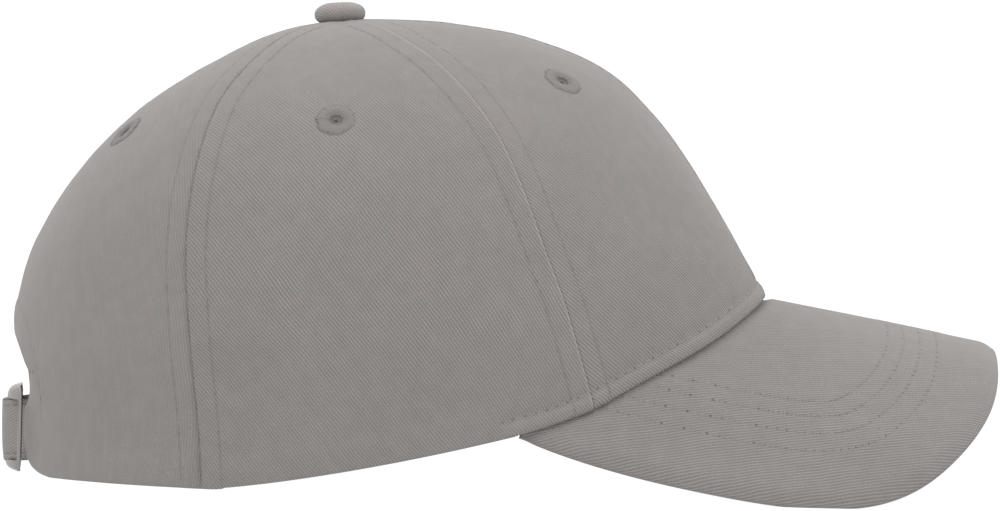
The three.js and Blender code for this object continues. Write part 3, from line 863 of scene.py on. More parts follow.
def twill_material(name, wale_angle, colour, pitch=WALE_PITCH, stitch_maps=(("stitch", "edge"),)):
    """Cotton twill: slanting ribs made of short floats, with slubs, streaks and painted shade at needle
    holes.
    """
    material, shader = new_material(name)
    tree = shader.id_data
    right, down = cloth_map(tree, "weave")
    contrast, lap = cloth_map(tree, "contrast")
    cosine = math.cos(math.radians(wale_angle))
    sine = math.sin(math.radians(wale_angle))
    across = right * cosine - down * sine
    along = right * sine + down * cosine
    wander = noise(right, down, WALE_WANDER_SCALE, WALE_WANDER_SCALE) * WALE_WANDER
    wale = (across + wander) / pitch
    floats = along / FLOAT_LENGTH + (wale + 0.5).math("FLOOR") * FLOAT_STAGGER
    weave = (wale.wave() * 0.5 + 0.5) * floats.wave().ramp(-1, 1, FLOAT_END, 1.0)
    rib_tone = weave.ramp(0, 1, RIB_TONE_LOW - RIB_TONE_MIDDLE, RIB_TONE_HIGH - RIB_TONE_MIDDLE)
    tone = rib_tone * contrast + RIB_TONE_MIDDLE
    clouds = {}
    for cloud, (scale_x, scale_y, detail, half_range, change) in CLOUDS.items():
        x, y = (wale, along) if cloud == "streaks" else (right, down)
        clouds[cloud] = noise(x, y, scale_x, scale_y, detail)
        tone = tone * clouds[cloud].ramp(0.5 - half_range, 0.5 + half_range, 1 - change, 1 + change)
    for map_name, kind in stitch_maps:
        # Painted shade at the needle holes
        tone = tone * needle_hole_shade(tree, map_name, kind, lap)
        if map_name == "edge_stitch":
            # Painted highlight over the rolled hem
            tone = tone * hem_highlight(tree)
    if stitch_maps:
        # Painted highlight and painted shade beside the lapped seam
        tone = tone * lap_highlight_and_shade(tree, lap)
    height = weave * contrast + clouds["fibres"] * FIBRE_HEIGHT + clouds["streaks"] * STREAK_HEIGHT
    set_inputs(shader, {
        "Normal": bump(height, WEAVE_DEPTH), "Base Color": tone.shade(colour), "Roughness": 0.95,
        "Specular IOR Level": 0.2, "Sheen Weight": 0.12, "Sheen Roughness": 0.5,
    })
    return material


def thread_material(name, colour, rim=0.0):
    """Sewing thread with a twist along it, with painted shade towards the rim of a ring of that radius."""
    material, shader = new_material(name)
    along, around = cloth_map(shader.id_data, "weave")
    twist = (along / 0.5 + around).wave()
    fuzz = noise(along, around, 4.0, 4.0)
    tone = twist.ramp(-1, 1, 0.88, 1.06) * fuzz.ramp(0.2, 0.8, 0.94, 1.06)
    # Painted shade towards the rim
    if rim:
        tone = tone * along.ramp(rim - 0.9, rim - 0.1, 1.0, RIM_SHADE_TONE)
    set_inputs(shader, {
        "Normal": bump(twist + fuzz * 0.6, 0.03), "Base Color": tone.shade(colour),
        "Roughness": 0.75, "Specular IOR Level": 0.3,
    })
    return material


def steel_material(name):
    """Satin nickel-plated steel with fine brushing."""
    material, shader = new_material(name)
    along, up = cloth_map(shader.id_data, "weave")
    brushing = noise(along, up, 0.4, 9.0, 3.0)
    tone = noise(along, up, 0.25, 0.25).ramp(0.25, 0.75, 0.94, 1.04)
    set_inputs(shader, {
        "Normal": bump(brushing, 0.006), "Base Color": tone.shade(STEEL_COLOUR),
        "Roughness": brushing.ramp(0.2, 0.8, 0.3, 0.42), "Metallic": 1.0,
    })
    return material


def floor_material():
    """A pale floor, as bright as the light round it."""
    material, shader = new_material("pale_floor")
    mottle = add_node(shader.id_data, "TexNoise")
    set_inputs(mottle, {"Scale": 3.0})
    tone = Value(mottle.outputs["Fac"]).ramp(0, 1, 0.99, 1.0)
    set_inputs(shader, {
        "Base Color": tone.shade((0.05, 0.05, 0.05)), "Roughness": 1.0, "Specular IOR Level": 0.0,
        "Emission Color": WHITE, "Emission Strength": 1.0,
    })
    return material


# Each material with its slot
PANEL_HOLES = (("stitch", "seam"), ("edge_stitch", "edge"))
MATERIALS = {
    "twill": ("cotton_twill", twill_material(
        "washed_twill", WALE_ANGLE, COTTON_COLOUR, stitch_maps=PANEL_HOLES)),
    "button_twill": ("cotton_twill", twill_material(
        "button_twill", WALE_ANGLE, BUTTON_COLOUR, stitch_maps=())),
    "peak_twill": ("cotton_twill", twill_material(
        "peak_twill", PEAK_WALE_ANGLE, PEAK_COLOUR, PEAK_WALE_PITCH)),
    "strap_twill": ("cotton_twill", twill_material("strap_twill", STRAP_WALE_ANGLE, STRAP_COLOUR)),
    "tape": ("cotton_tape", twill_material("sweatband_cotton", TAPE_ANGLE, TAPE_COLOUR, TAPE_PITCH, ())),
    "thread": ("cotton_thread", thread_material("sewing_thread", THREAD_COLOUR)),
    "bright_thread": ("cotton_thread", thread_material("bright_sewing_thread", BRIGHT_THREAD_COLOUR)),
    "eyelet_thread": ("cotton_thread", thread_material("eyelet_thread", EYELET_COLOUR, EYELET_RADIUS)),
    "steel": ("satin_steel", steel_material("satin_steel")),
}


# Stitches

def thread_stitches(line, normals, lengths, radius):
    """Short thread stitches along a line on the cloth, each dipping into a needle hole at its ends."""
    if lengths[0] > lengths[-1]:
        line, normals, lengths = line[::-1], normals[::-1], lengths[::-1]
    first = math.ceil(lengths[0] / STITCH_PITCH)
    count = max(int(lengths[-1] / STITCH_PITCH) - first, 0)
    share = np.linspace(0, 1, STITCH_RINGS)
    gap, length = STITCH_SHARES
    starts = (first + np.arange(count)[:, None] + gap + length * share) * STITCH_PITCH
    centre = points_along(starts, lengths, line)
    normal = normalised(points_along(starts, lengths, normals))
    side = np.cross(normal, normalised(np.gradient(centre, axis=1)))
    swell = np.sin(math.pi * share)[:, None] ** 0.5
    centre = centre + normal * radius * (swell - STITCH_SINK)
    girth = radius * (STITCH_END_GIRTH + (1 - STITCH_END_GIRTH) * swell)
    angle = np.arange(STITCH_SIDES) * TURN / STITCH_SIDES
    points = (
        centre[:, :, None]
        + side[:, :, None] * (girth * STITCH_WIDTH * np.cos(angle))[..., None]
        + normal[:, :, None] * (girth * STITCH_HEIGHT * np.sin(angle))[..., None]
    )
    weave = stack(np.zeros((count, 1, 1)) + share[:, None] * STITCH_PITCH, angle / TURN)
    tube = grid_faces(STITCH_RINGS, STITCH_SIDES, wrap_columns=True)
    stitch = [face[:1] + face[:0:-1] for face in tube]
    size = STITCH_RINGS * STITCH_SIDES
    stitch += [list(range(STITCH_SIDES))[::-1], list(range(size - STITCH_SIDES, size))]
    return points, [face for index in range(count) for face in shifted(stitch, index * size)], weave


def join_stitches(name, runs, thread="thread", radius=THREAD_RADIUS):
    """One piece from many stitched lines, each with its points, their normals and their way along it."""
    write_mesh(name, *joined(thread_stitches(*run, radius) for run in runs), thread)


def level_line(field, along, level, points, normals, down_columns=True):
    """Where a field over a grid crosses a level, one point for each column or row, and the cells there."""
    if down_columns:
        field, along = field.T, along.T
        points, normals = points.transpose(1, 0, 2), normals.transpose(1, 0, 2)
    crossing = (field[:, :-1] - level) * (field[:, 1:] - level) <= 0
    index = np.nonzero(crossing.any(axis=1))[0]
    if down_columns:
        hit = crossing.shape[1] - 1 - np.argmax(crossing[index, ::-1], axis=1)
    else:
        hit = np.argmax(crossing[index], axis=1)
    low, high = field[index, hit], field[index, hit + 1]
    span = np.where(high == low, 1.0, high - low)
    part = np.where(high == low, 0.5, (level - low) / span)
    line = points[index, hit] * (1 - part[:, None]) + points[index, hit + 1] * part[:, None]
    lengths = along[index, hit] * (1 - part) + along[index, hit + 1] * part
    return line, normals[index, hit], lengths, (index, hit)


# Crown panels

def seam_azimuth(seam, share):
    turn = 1.0 - np.asarray(share, float)
    if seam == "front_side":
        return table_value(FRONT_SEAM, "azimuth", share)
    if seam == "rear_side":
        return REAR_SEAM_AZIMUTH + REAR_SEAM_TURN * turn ** REAR_SEAM_POWER
    return (0.0 if seam == "front" else 180.0) + 0.0 * turn


def arch_line(count):
    """The rear panel's free edge, along the hem from the side seam and up round the opening."""
    foot_azimuth = float(crown_place(ARCH_FOOT_Y, 0.0, 152.0, 1.0)[0])
    hem = crown_skin(np.linspace(REAR_SEAM_AZIMUTH, foot_azimuth, 80), 1.0)[:, 1:]
    quarter = np.linspace(0, math.pi / 2, 14)[1:]
    foot = stack(ARCH_FOOT_Y - ARCH_FOOT_WIDTH * np.sin(quarter), ARCH_FOOT_HEIGHT * (1 - np.cos(quarter)))
    side_z = np.linspace(ARCH_FOOT_HEIGHT, ARCH_SPRING_Z, 14)[1:]
    widening = fall(side_z, ARCH_FOOT_HEIGHT, ARCH_SPRING_Z - ARCH_FOOT_HEIGHT)
    side = stack(ARCH_HALF_WIDTH - ARCH_FOOT_NARROWING * widening, side_z)
    turn = np.linspace(0, math.pi / 2, 160)[1:]
    power = 2 / ARCH_SQUARENESS
    arch_z = ARCH_SPRING_Z + (ARCH_TOP_Z - ARCH_SPRING_Z) * np.sin(turn) ** power
    arch = stack(ARCH_HALF_WIDTH * np.abs(np.cos(turn)) ** power, arch_z)
    line = np.concatenate([hem, foot, side, arch])
    lengths = cumulative_length(line)
    hem_part = lengths[len(hem) - 1] / lengths[-1]
    along = np.linspace(0, 1, count)
    y, z = points_along(along * lengths[-1], lengths, line).T
    guess = np.interp(along, [0, hem_part, 1], [REAR_SEAM_AZIMUTH, foot_azimuth, 180.0])
    azimuth, share = crown_place(y, z, guess, 1.0 - 0.23 * z / ARCH_TOP_Z)
    return azimuth, share, along, hem_part


def panel_grid(place):
    """Azimuths and shares of a panel's grid, with its columns closer near the seams."""
    start_seam, end_seam = SEAMS[place]
    down = np.linspace(0, 1, PANEL_ROWS)[:, None]
    if place != "rear":
        even = np.linspace(0, 1, PANEL_COLUMNS[place])
        crowded = even - COLUMN_CROWDING * np.sin(TURN * even) / TURN
        share = TOP_SHARE + (1.0 - TOP_SHARE) * down
        start = seam_azimuth(start_seam, share)
        return start + (seam_azimuth(end_seam, share) - start) * crowded, share + 0.0 * crowded
    foot_azimuth, foot_share, along, hem_part = arch_line(PANEL_COLUMNS[place])
    top_start = seam_azimuth(start_seam, TOP_SHARE)
    fan = np.interp(along, [0, hem_part, 1], [0, REAR_FAN, 1])
    late = bell(along, hem_part + REAR_LATE_TURN_PAST_HEM, REAR_LATE_TURN_WIDTH) * rise(along, 0, hem_part)
    top_azimuth = top_start + (180.0 - top_start) * fan
    share = TOP_SHARE + (foot_share - TOP_SHARE) * down
    seam_curve = seam_azimuth(start_seam, share) - (top_start + (REAR_SEAM_AZIMUTH - top_start) * down)
    late_turn = 1 + REAR_LATE_TURN * late
    azimuth = top_azimuth + (foot_azimuth - top_azimuth) * down ** late_turn + seam_curve * (1 - fan)
    return azimuth, share


def panel_surface(place):
    """A panel's grid on the crown, with each point's distance from its seams and free edge."""
    azimuth, share = panel_grid(place)
    base = crown_skin(azimuth, share)
    panel = {"place": place, "azimuth": azimuth, "base": base, "normals": crown_normal(azimuth, share)}
    for name, line in (("start", base[:, 0]), ("end", base[:, -1]), ("edge", base[-1])):
        panel[f"{name}_distance"], panel[f"{name}_along"] = distance_to_line(base, line)
    nearer_start = panel["start_distance"] < panel["end_distance"]
    for name in ("distance", "along"):
        panel[f"seam_{name}"] = np.where(nearer_start, panel[f"start_{name}"], panel[f"end_{name}"])
    panel["lap"] = lapping(place, nearer_start, panel["seam_distance"])
    return panel


def lapping(place, nearer_start, seam_distance):
    """1 where a panel laps over the front side seam, -1 where it passes below, and 0 elsewhere."""
    beside = seam_distance < LAP_REACH
    if place == "side":
        return np.where(nearer_start & beside, 1.0, 0.0)
    if place == "front":
        return np.where(~nearer_start & beside, -1.0, 0.0)
    return np.zeros(seam_distance.shape)


def seam_relief(panel, seed):
    """Height of the cloth by its distance from a seam: groove, turned allowance and stitched row."""
    distance = panel["seam_distance"]
    along = panel["seam_along"]
    short, long = [TURN * along / pitch for pitch in SEAM_GROOVE_PITCHES]
    depth = SEAM_GROOVE + SEAM_GROOVE_CHANGE * np.sin(short + 0.7 * seed) * np.sin(long)
    lapped = 1 - LAP_GROOVE_LOSS * np.abs(panel["lap"])
    groove = -depth * bell(distance, 0, SEAM_GROOVE_HALF_WIDTH) * lapped
    slow, quick = [TURN * along / pitch for pitch in SEAM_WAVER_PITCHES]
    waver = np.sin(slow + seed) + 0.6 * np.sin(quick + 2.1 * seed)
    relief = groove + layer("seam_allowance", distance) + ridge("seam_row", distance)
    relief = relief + waver * ridge("seam_waver", distance) + pucker("seam_pucker", distance, along)
    if panel["place"] == "side":
        relief = relief + ridge("side_lap", panel["start_distance"])
    if panel["place"] == "front":
        relief = relief + ridge("front_lap", panel["end_distance"])
    return relief


def hem_relief(panel):
    """Height of the cloth near the panel's free edge: the rolled hem and its stitched row."""
    distance = panel["edge_distance"]
    over_peak = fall(panel["azimuth"], HEM_ROW_END_AZIMUTH - 2.0, 4.0)
    from_middle = (distance - HEM_ROLL_MIDDLE) / HEM_ROLL_HALF_WIDTH
    roll = HEM_ROLL * np.sqrt(np.clip(1 - from_middle ** 4, 0, None))
    stitched = roll + ridge("hem_row", distance) + ridge("hem_swell", distance)
    stitched = stitched + pucker("hem_pucker", distance, panel["edge_along"])
    return over_peak * stitched + (1 - over_peak) * layer("plain_hem", distance)


def arch_relief(panel):
    """Height of the cloth round the rear opening, with the join in its turned hem."""
    distance = panel["edge_distance"]
    height = panel["base"][..., 2]
    hem = layer("arch_hem", distance) + ridge("arch_row", distance)
    hem = hem + pucker("arch_pucker", distance, panel["edge_along"])
    join = ridge("arch_join", height) * (distance < ARCH_ROW_OFFSET - 0.3)
    near_edge = np.clip(1 - distance / ARCH_ROW_OFFSET, 0, None) ** 2
    curl = table_value(ARCH_CURL, "curl", height) * near_edge
    return hem * rise(height, ARCH_HEM_FADE_Z, ARCH_HEM_FADE) + join - curl


def panel_relief(panel, seed):
    """Height of a panel's cloth over the smooth crown."""
    base = panel["base"]
    seam_distance = panel["seam_distance"]
    away_from_seam = rise(seam_distance, SWELL_FROM, SWELL_FADE)
    relief = seam_relief(panel, seed) + away_from_seam * waves("panel", base, seed)
    relief = relief + waves("panel_crumple", base, seed)
    hem = hem_relief(panel)
    if panel["place"] == "rear":
        foot_length = cumulative_length(base[-1])[np.argmin(np.abs(base[-1, :, 1] - ARCH_FOOT_Y))]
        around_arch = rise(panel["edge_along"], foot_length, ARCH_BLEND)
        hem = (1 - around_arch) * hem + around_arch * arch_relief(panel)
    return relief + hem * (1 - (1 - HEM_SHARE_AT_SEAM) * fall(seam_distance, 0.0, SEAM_TICK_REACH))


def seam_holes(panel):
    """Distance from the row beside the seam, or from the seam's own close stitches, and the way along it."""
    distance = panel["seam_distance"]
    along = panel["seam_along"]
    at_seam = distance < SEAM_TICK_REACH
    offset = np.where(at_seam, -distance, distance - SEAM_ROW_OFFSET)
    return stack(offset, np.where(at_seam, along * STITCH_PITCH / SEAM_TICK_PITCH, along))


def edge_holes(panel):
    """Distance from the row over the peak, or from the join beside the opening, and the way along it."""
    distance = panel["edge_distance"]
    from_join = panel["base"][..., 2] - ARCH_JOIN_Z
    over_peak = panel["azimuth"] < HEM_ROW_END_AZIMUTH
    at_join = (panel["azimuth"] > HEM_FLAT_AZIMUTH) & (distance < ARCH_ROW_OFFSET)
    at_join = at_join & (np.abs(from_join) < ARCH_JOIN_REACH)
    offset = np.where(over_peak, distance - HEM_ROW_OFFSET, FAR_FROM_HOLES)
    return stack(np.where(at_join, from_join, offset), np.where(at_join, 0.0, panel["edge_along"]))


def panel_maps(panel, hand):
    flat = unroll(panel["base"], panel["normals"])
    fold = flat[-1] + stack(0.0, np.linspace(0.3, 1.8, FOLD_STEPS)[:, None])
    sheet = round_fold(flat, fold) * np.array([hand, 1.0])
    from_start = round_fold(panel["start_distance"], panel["start_distance"][-1])
    contrast = rib_contrast(panel["place"], sheet, from_start)
    return {
        "weave": turned_weave(sheet, panel["place"]),
        "contrast": stack(contrast, front_only(panel["lap"], 0.0)),
        "stitch": front_only(seam_holes(panel), FAR_FROM_HOLES),
        "edge_stitch": front_only(edge_holes(panel), FAR_FROM_HOLES),
    }


def build_panel(place, hand):
    panel = panel_surface(place)
    base = panel["base"]
    normals = panel["normals"]
    panel["relief"] = panel_relief(panel, PANEL_SEEDS[place] + (10 if hand < 0 else 0))
    outward = edge_outward(base, normals)
    pull = fall(panel["edge_distance"], 0.0, EDGE_TUCK_REACH) * CROWN_WALL / 2
    panel["outer"] = base + normals * panel["relief"][..., None] - outward * pull[..., None]
    depth = CROWN_WALL + layer("seam_tape", panel["seam_distance"])
    shell = folded_shell(panel["outer"], normals, outward, depth)
    cell_centres = (base[:-1, :-1] + base[1:, 1:]) / 2
    eyelet = crown_skin(*EYELET_PLACES[place])
    keep = np.linalg.norm(cell_centres - eyelet, axis=-1) > CLOTH_HOLE_RADIUS
    faces = shell_faces(*panel["azimuth"].shape, keep, hand < 0)
    node = f"{place}_panel_" + ("left" if hand > 0 else "right")
    points = shell if hand > 0 else mirrored(shell)
    write_mesh(node + "_cloth", points, faces, panel_maps(panel, hand), "twill", node)
    return panel


def handed(run, hand):
    """A stitched line, mirrored for the right side."""
    line, normals, lengths = run
    return run if hand > 0 else (mirrored(line), mirrored(normals), lengths)


def seam_runs(panel):
    """Stitched rows beside both seams of a panel, from where it is wide enough for them."""
    wide_enough = (panel["start_distance"] + panel["end_distance"]).min(axis=1) > 2 * SEAM_ROW_OFFSET + 0.8
    rows = slice(int(np.argmax(wide_enough)), None)
    for seam, step in (("start", 1), ("end", -1)):
        names = (f"{seam}_distance", f"{seam}_along", "outer", "normals")
        distance, along, points, normals = [panel[name][rows, ::step] for name in names]
        yield level_line(distance, along, SEAM_ROW_OFFSET, points, normals, False)[:3]


def hem_run(panel):
    """The stitched row over the peak or round the rear opening."""
    place = panel["place"]
    level = ARCH_ROW_OFFSET if place == "rear" else HEM_ROW_OFFSET
    *run, (column, row) = level_line(
        panel["edge_distance"], panel["edge_along"], level, panel["outer"], panel["normals"])
    line = run[0]
    keep = np.ones(len(line), bool)
    if place == "side":
        keep = panel["azimuth"][row, column] < HEM_ROW_END_AZIMUTH
    if place == "rear":
        keep = (line[:, 1] < ARCH_HALF_WIDTH + ARCH_ROW_OFFSET + 2.0) & (line[:, 2] > ARCH_ROW_FOOT_Z)
    return [part[keep] for part in run]


def build_crown():
    panels = {(place, hand): build_panel(place, hand) for place in SEAMS for hand in (1, -1)}
    seams = [handed(run, hand) for (_, hand), panel in panels.items() for run in seam_runs(panel)]
    hems = [handed(hem_run(panel), hand) for (_, hand), panel in panels.items()]
    join_stitches("seam_stitches", seams, "thread", SEAM_THREAD_RADIUS)
    join_stitches("hem_stitches", hems, "bright_thread")
    for (place, hand), panel in panels.items():
        build_eyelet(place, hand, panel)


# Peak

def peak_edge(across):
    """The peak's free edge in plan, from one rear corner (-1) over the tip (0) to the other (1)."""
    turn = np.abs(across)
    back = np.clip((turn - PEAK_SIDE_SHARE) / (1 - PEAK_SIDE_SHARE), 0, None)
    angle = np.minimum(turn / PEAK_SIDE_SHARE, 1) * math.pi / 2
    to_side = rise(angle, 0.0, math.pi / 2)
    squareness = PEAK_TIP_SQUARENESS + (PEAK_SIDE_SQUARENESS - PEAK_TIP_SQUARENESS) * to_side
    forward = (np.abs(np.cos(angle)) / PEAK_REACH) ** squareness
    sideways = (np.sin(angle) / PEAK_HALF_WIDTH) ** squareness
    radius = (forward + sideways) ** (-1 / squareness)
    on_side = turn > PEAK_SIDE_SHARE
    side_x = PEAK_WIDEST_X + (PEAK_CORNER_X - PEAK_WIDEST_X) * back
    side_y = PEAK_HALF_WIDTH - PEAK_CORNER_NARROWING * back ** PEAK_CORNER_POWER
    x = np.where(on_side, side_x, PEAK_WIDEST_X + radius * np.cos(angle))
    return stack(x, np.where(on_side, side_y, radius * np.sin(angle)) * np.sign(across))


def peak_root(across):
    """Where the peak starts in plan, lapped under the crown's hem."""
    x, y, _ = crown_plan(PEAK_END_AZIMUTH * across, 1.0)
    middle_x, _, _ = crown_plan(90.0, 1.0)
    return stack(x, y) + normalised(stack(middle_x - x, -y)) * PEAK_ROOT_LAP


def peak_point(plan):
    x, y = np.moveaxis(plan, -1, 0)
    return stack(x, y, peak_top_height(x, y))


def peak_normal(plan, step=0.5):
    x, y = np.moveaxis(plan, -1, 0)
    slope_x = (peak_top_height(x + step, y) - peak_top_height(x - step, y)) / (2 * step)
    slope_y = (peak_top_height(x, y + step) - peak_top_height(x, y - step)) / (2 * step)
    return normalised(stack(-slope_x, -slope_y, 1.0))


def row_distance(base, edge_distance):
    """Distance from the free edge, with the wider spacing of the rows along the sides taken out."""
    to_side = rise(np.abs(base[..., 1]), PEAK_ROW_SPREAD_FROM, PEAK_ROW_SPREAD_FADE)
    beyond = np.maximum(edge_distance - PEAK_ROW_OFFSETS[0], 0)
    return edge_distance - beyond * (1 - 1 / (1 + PEAK_ROW_SPREAD * to_side))


def nearest_row(distance):
    """Signed distance from the nearest of the peak's stitched rows."""
    offsets = distance[..., None] - np.array(PEAK_ROW_OFFSETS)
    nearest = np.argmin(np.abs(offsets), axis=-1)
    return np.take_along_axis(offsets, nearest[..., None], axis=-1)[..., 0]


def peak_relief(base, rows_distance, edge_along):
    """Height of the peak's cloth: stitched grooves with soft ridges between them."""
    offset = nearest_row(rows_distance)
    past_first = rise(rows_distance, PEAK_ROW_OFFSETS[0] - 5, 4)
    inside_rows = past_first * fall(rows_distance, PEAK_ROW_OFFSETS[-1] + 1, 4)
    swell = (0.1 + waves("peak_rows", base)) * inside_rows
    return ridge("peak_row", offset) + pucker("peak_pucker", offset, edge_along) + swell + waves("peak", base)


def peak_flat(points):
    """Cloth coordinates of the peak, rolled flat: across it, and forward from its root."""
    y = np.linspace(-PEAK_UNROLL_REACH, PEAK_UNROLL_REACH, 721)
    arc = cumulative_length(stack(y, peak_top_height(RIDGE_X, y)))
    across = np.interp(points[..., 1], y, arc - np.interp(0, y, arc))
    return stack(across, points[..., 0] * math.hypot(1, RIDGE_SLOPE))


def flat_contrast(points, contrast):
    """The contrast map of a piece that laps no other."""
    return stack(np.broadcast_to(contrast, points.shape[:-1]), 0.0)


def peak_grid():
    """Points and normals of the peak's top, in rows from its root to just inside its free edge."""
    across = PEAK_CORNER_SHARE * np.linspace(-1, 1, PEAK_COLUMNS)
    edge = peak_edge(across)
    root = peak_root(across)
    inward = normalised(np.cross(peak_normal(edge), np.gradient(peak_point(edge), axis=0)))[:, :2]
    inward = inward * np.sign(np.sum(inward * (root - edge), axis=-1, keepdims=True))
    down = np.linspace(0, 1, PEAK_ROWS)[:, None, None]
    plan = root * (1 - down) + (edge + inward * PEAK_EDGE_INSET) * down
    return peak_point(plan), peak_normal(plan)


def build_peak():
    base, normals = peak_grid()
    edge_line = peak_point(peak_edge(PEAK_CORNER_SHARE * np.linspace(-1, 1, 900)))
    edge_distance, edge_along = distance_to_line(base, edge_line)
    rows_distance = row_distance(base, edge_distance)
    relief = peak_relief(base, rows_distance, edge_along)
    hem_azimuth = np.linspace(-PEAK_END_AZIMUTH, PEAK_END_AZIMUTH, 500)
    hem_line = peak_point(stack(*crown_plan(hem_azimuth, 1.0)[:2]))
    turned_down = PEAK_EDGE_CURL * np.clip(1 - edge_distance / PEAK_CURL_FROM, 0, None) ** 2
    turned_down = turned_down + ridge("peak_crease", distance_to_line(base, hem_line)[0])
    outer = base + normals * (relief - turned_down)[..., None]
    depth = PEAK_THICKNESS + 2 * relief - turned_down
    shell = folded_shell(outer, normals, edge_outward(outer, normals), depth)
    flat = peak_flat(base)
    over_edge = normalised(flat[-1] - flat[-3])
    turn = np.linspace(0, PEAK_THICKNESS, FOLD_STEPS + 2)[1:-1, None, None]
    stitch = stack(nearest_row(rows_distance), edge_along)
    maps = {
        "weave": round_fold(flat, flat[-1] + over_edge * turn),
        "stitch": round_fold(stitch, stitch[-1] + np.array([20.0, 0.0])),
        "contrast": flat_contrast(shell, np.interp(np.abs(shell[..., 1]), *WEAVE_CONTRAST["peak"])),
    }
    write_mesh("peak_cloth", shell, shell_faces(*relief.shape), maps, "peak_twill", "peak")
    inner = outer - normals * depth[..., None]
    join_stitches("peak_stitches", [
        level_line(rows_distance, edge_along, offset, face, face_normals)[:3]
        for face, face_normals in ((outer, normals), (inner, -normals))
        for offset in PEAK_ROW_OFFSETS
    ], "bright_thread", PEAK_THREAD_RADIUS)


# Bands: strips that are closed all round

def closed_band(front, normals, wall, roundness=1.0):
    """Rows of a strip closed into a loop: down its front, round its lower edge, up its back, round its top.

    A roundness of 1 gives half-round edges, and less gives squarer ones."""
    back = front - normals * wall
    angle = math.pi * np.arange(1, BAND_EDGE_STEPS + 1)[:, None, None] / (BAND_EDGE_STEPS + 1)
    side = np.sign(np.cos(angle)) * np.abs(np.cos(angle)) ** roundness
    edges = []
    rims = ((front[-1], back[-1], front[-1] - front[-2]), (back[0], front[0], front[0] - front[1]))
    for start, end, way in rims:
        arm = (start - end) / 2
        reach = np.linalg.norm(arm, axis=-1, keepdims=True)
        edges.append((start + end) / 2 + arm * side + normalised(way) * reach * np.sin(angle) ** roundness)
    return np.concatenate([front, edges[0], back[::-1], edges[1]])


def band_faces(rows, columns, wrap_columns=False):
    total = 2 * (rows + BAND_EDGE_STEPS)
    faces = grid_faces(total, columns, wrap_rows=True, wrap_columns=wrap_columns)
    if wrap_columns:
        return faces
    last = total - BAND_EDGE_STEPS - 1
    for column, turned in ((0, False), (columns - 1, True)):
        line = np.arange(column, (total + 1) * columns, columns)
        line[total] = column
        line = line.tolist()
        rim = [[line[row], line[last - row], line[last - row - 1], line[row + 1]] for row in range(rows - 1)]
        for start in (rows - 1, last):
            rim.append(line[start:start + BAND_EDGE_STEPS + 2][::-1])
        faces.extend(face[::-1] if turned else face for face in rim)
    return faces


def grid_normals(points, wrap_columns=False):
    """Normals of a grid whose rows run down and columns run right, seen from its front."""
    right = np.gradient(points, axis=1)
    if wrap_columns:
        right = np.roll(points, -1, axis=1) - np.roll(points, 1, axis=1)
    return normalised(np.cross(np.gradient(points, axis=0), right))


def write_band(node, front, normals, wall, contrast, material, stitch=None):
    """A closed cloth band, with the holes of its stitched rows on both of its sides."""
    band = closed_band(front, normals, wall)
    along = cumulative_length(band[len(front) // 2])
    round_loop = cumulative_length(band[:, band.shape[1] // 2])
    maps = {"weave": stack(along[None, :], round_loop[:, None])}
    if stitch is not None:
        blank = np.full((BAND_EDGE_STEPS,) + stitch.shape[1:], FAR_FROM_HOLES)
        maps["stitch"] = np.concatenate([stitch, blank, stitch[::-1], blank])
    maps["contrast"] = flat_contrast(band, contrast)
    write_mesh(node + "_cloth", band, band_faces(*front.shape[:2]), maps, material, node)


def middle_length(grid, shape):
    """The way along a grid's middle row, for every point of it."""
    return np.broadcast_to(cumulative_length(grid[len(grid) // 2])[None, :], shape)


def build_sweatband():
    azimuth = np.linspace(SWEATBAND_END_AZIMUTH, -SWEATBAND_END_AZIMUTH, SWEATBAND_COLUMNS)[None, :]
    share = np.linspace(*SWEATBAND_SHARES, SWEATBAND_ROWS)[:, None]
    base = crown_skin(azimuth, share)
    inward = -crown_normal(azimuth, share)
    from_top = cumulative_length(base)
    relief = ridge("sweatband_row", from_top) + layer("sweatband_roll", from_top) + waves("sweatband", base)
    front = base + inward * (CROWN_WALL + GAP + SWEATBAND_THICKNESS + relief)[..., None]
    write_band("sweatband", front, inward, SWEATBAND_THICKNESS + SWEATBAND_EXTRA_WALL, 1.0, "tape")
    along = middle_length(front, from_top.shape)
    row_offset = RIDGES["sweatband_row"][1]
    join_stitches("sweatband_stitches", [level_line(from_top, along, row_offset, front, inward)[:3]])


def strap_face(azimuth, share):
    middle_share = sum(STRAP_SHARES) / 2
    middle = crown_skin(azimuth, middle_share)
    across = np.abs(middle[..., 1])
    buckle_turn = BUCKLE_TURN * middle[..., 1] * fall(across, BUCKLE_TURN_FROM, BUCKLE_TURN_FADE)
    stand = table_value(STRAP_STAND, "stand", across) + buckle_turn
    lean = rise(across, STRAP_UPRIGHT_TO, STRAP_LEANS_FROM - STRAP_UPRIGHT_TO)[..., None]
    from_middle = 2 * (share - middle_share) / (STRAP_SHARES[1] - STRAP_SHARES[0])
    from_crest = (from_middle + STRAP_CREST) / (1 + STRAP_CREST)
    bulge = STRAP_BULGE * (1 - from_crest ** 2) * fall(across, 0.0, STRAP_BULGE_TO)
    leaning = crown_skin(azimuth, share) + crown_normal(azimuth, share) * stand[..., None]
    upright = middle + crown_normal(azimuth, middle_share) * (stand + bulge)[..., None]
    upright[..., 2] = leaning[..., 2]
    return upright * (1 - lean) + leaning * lean


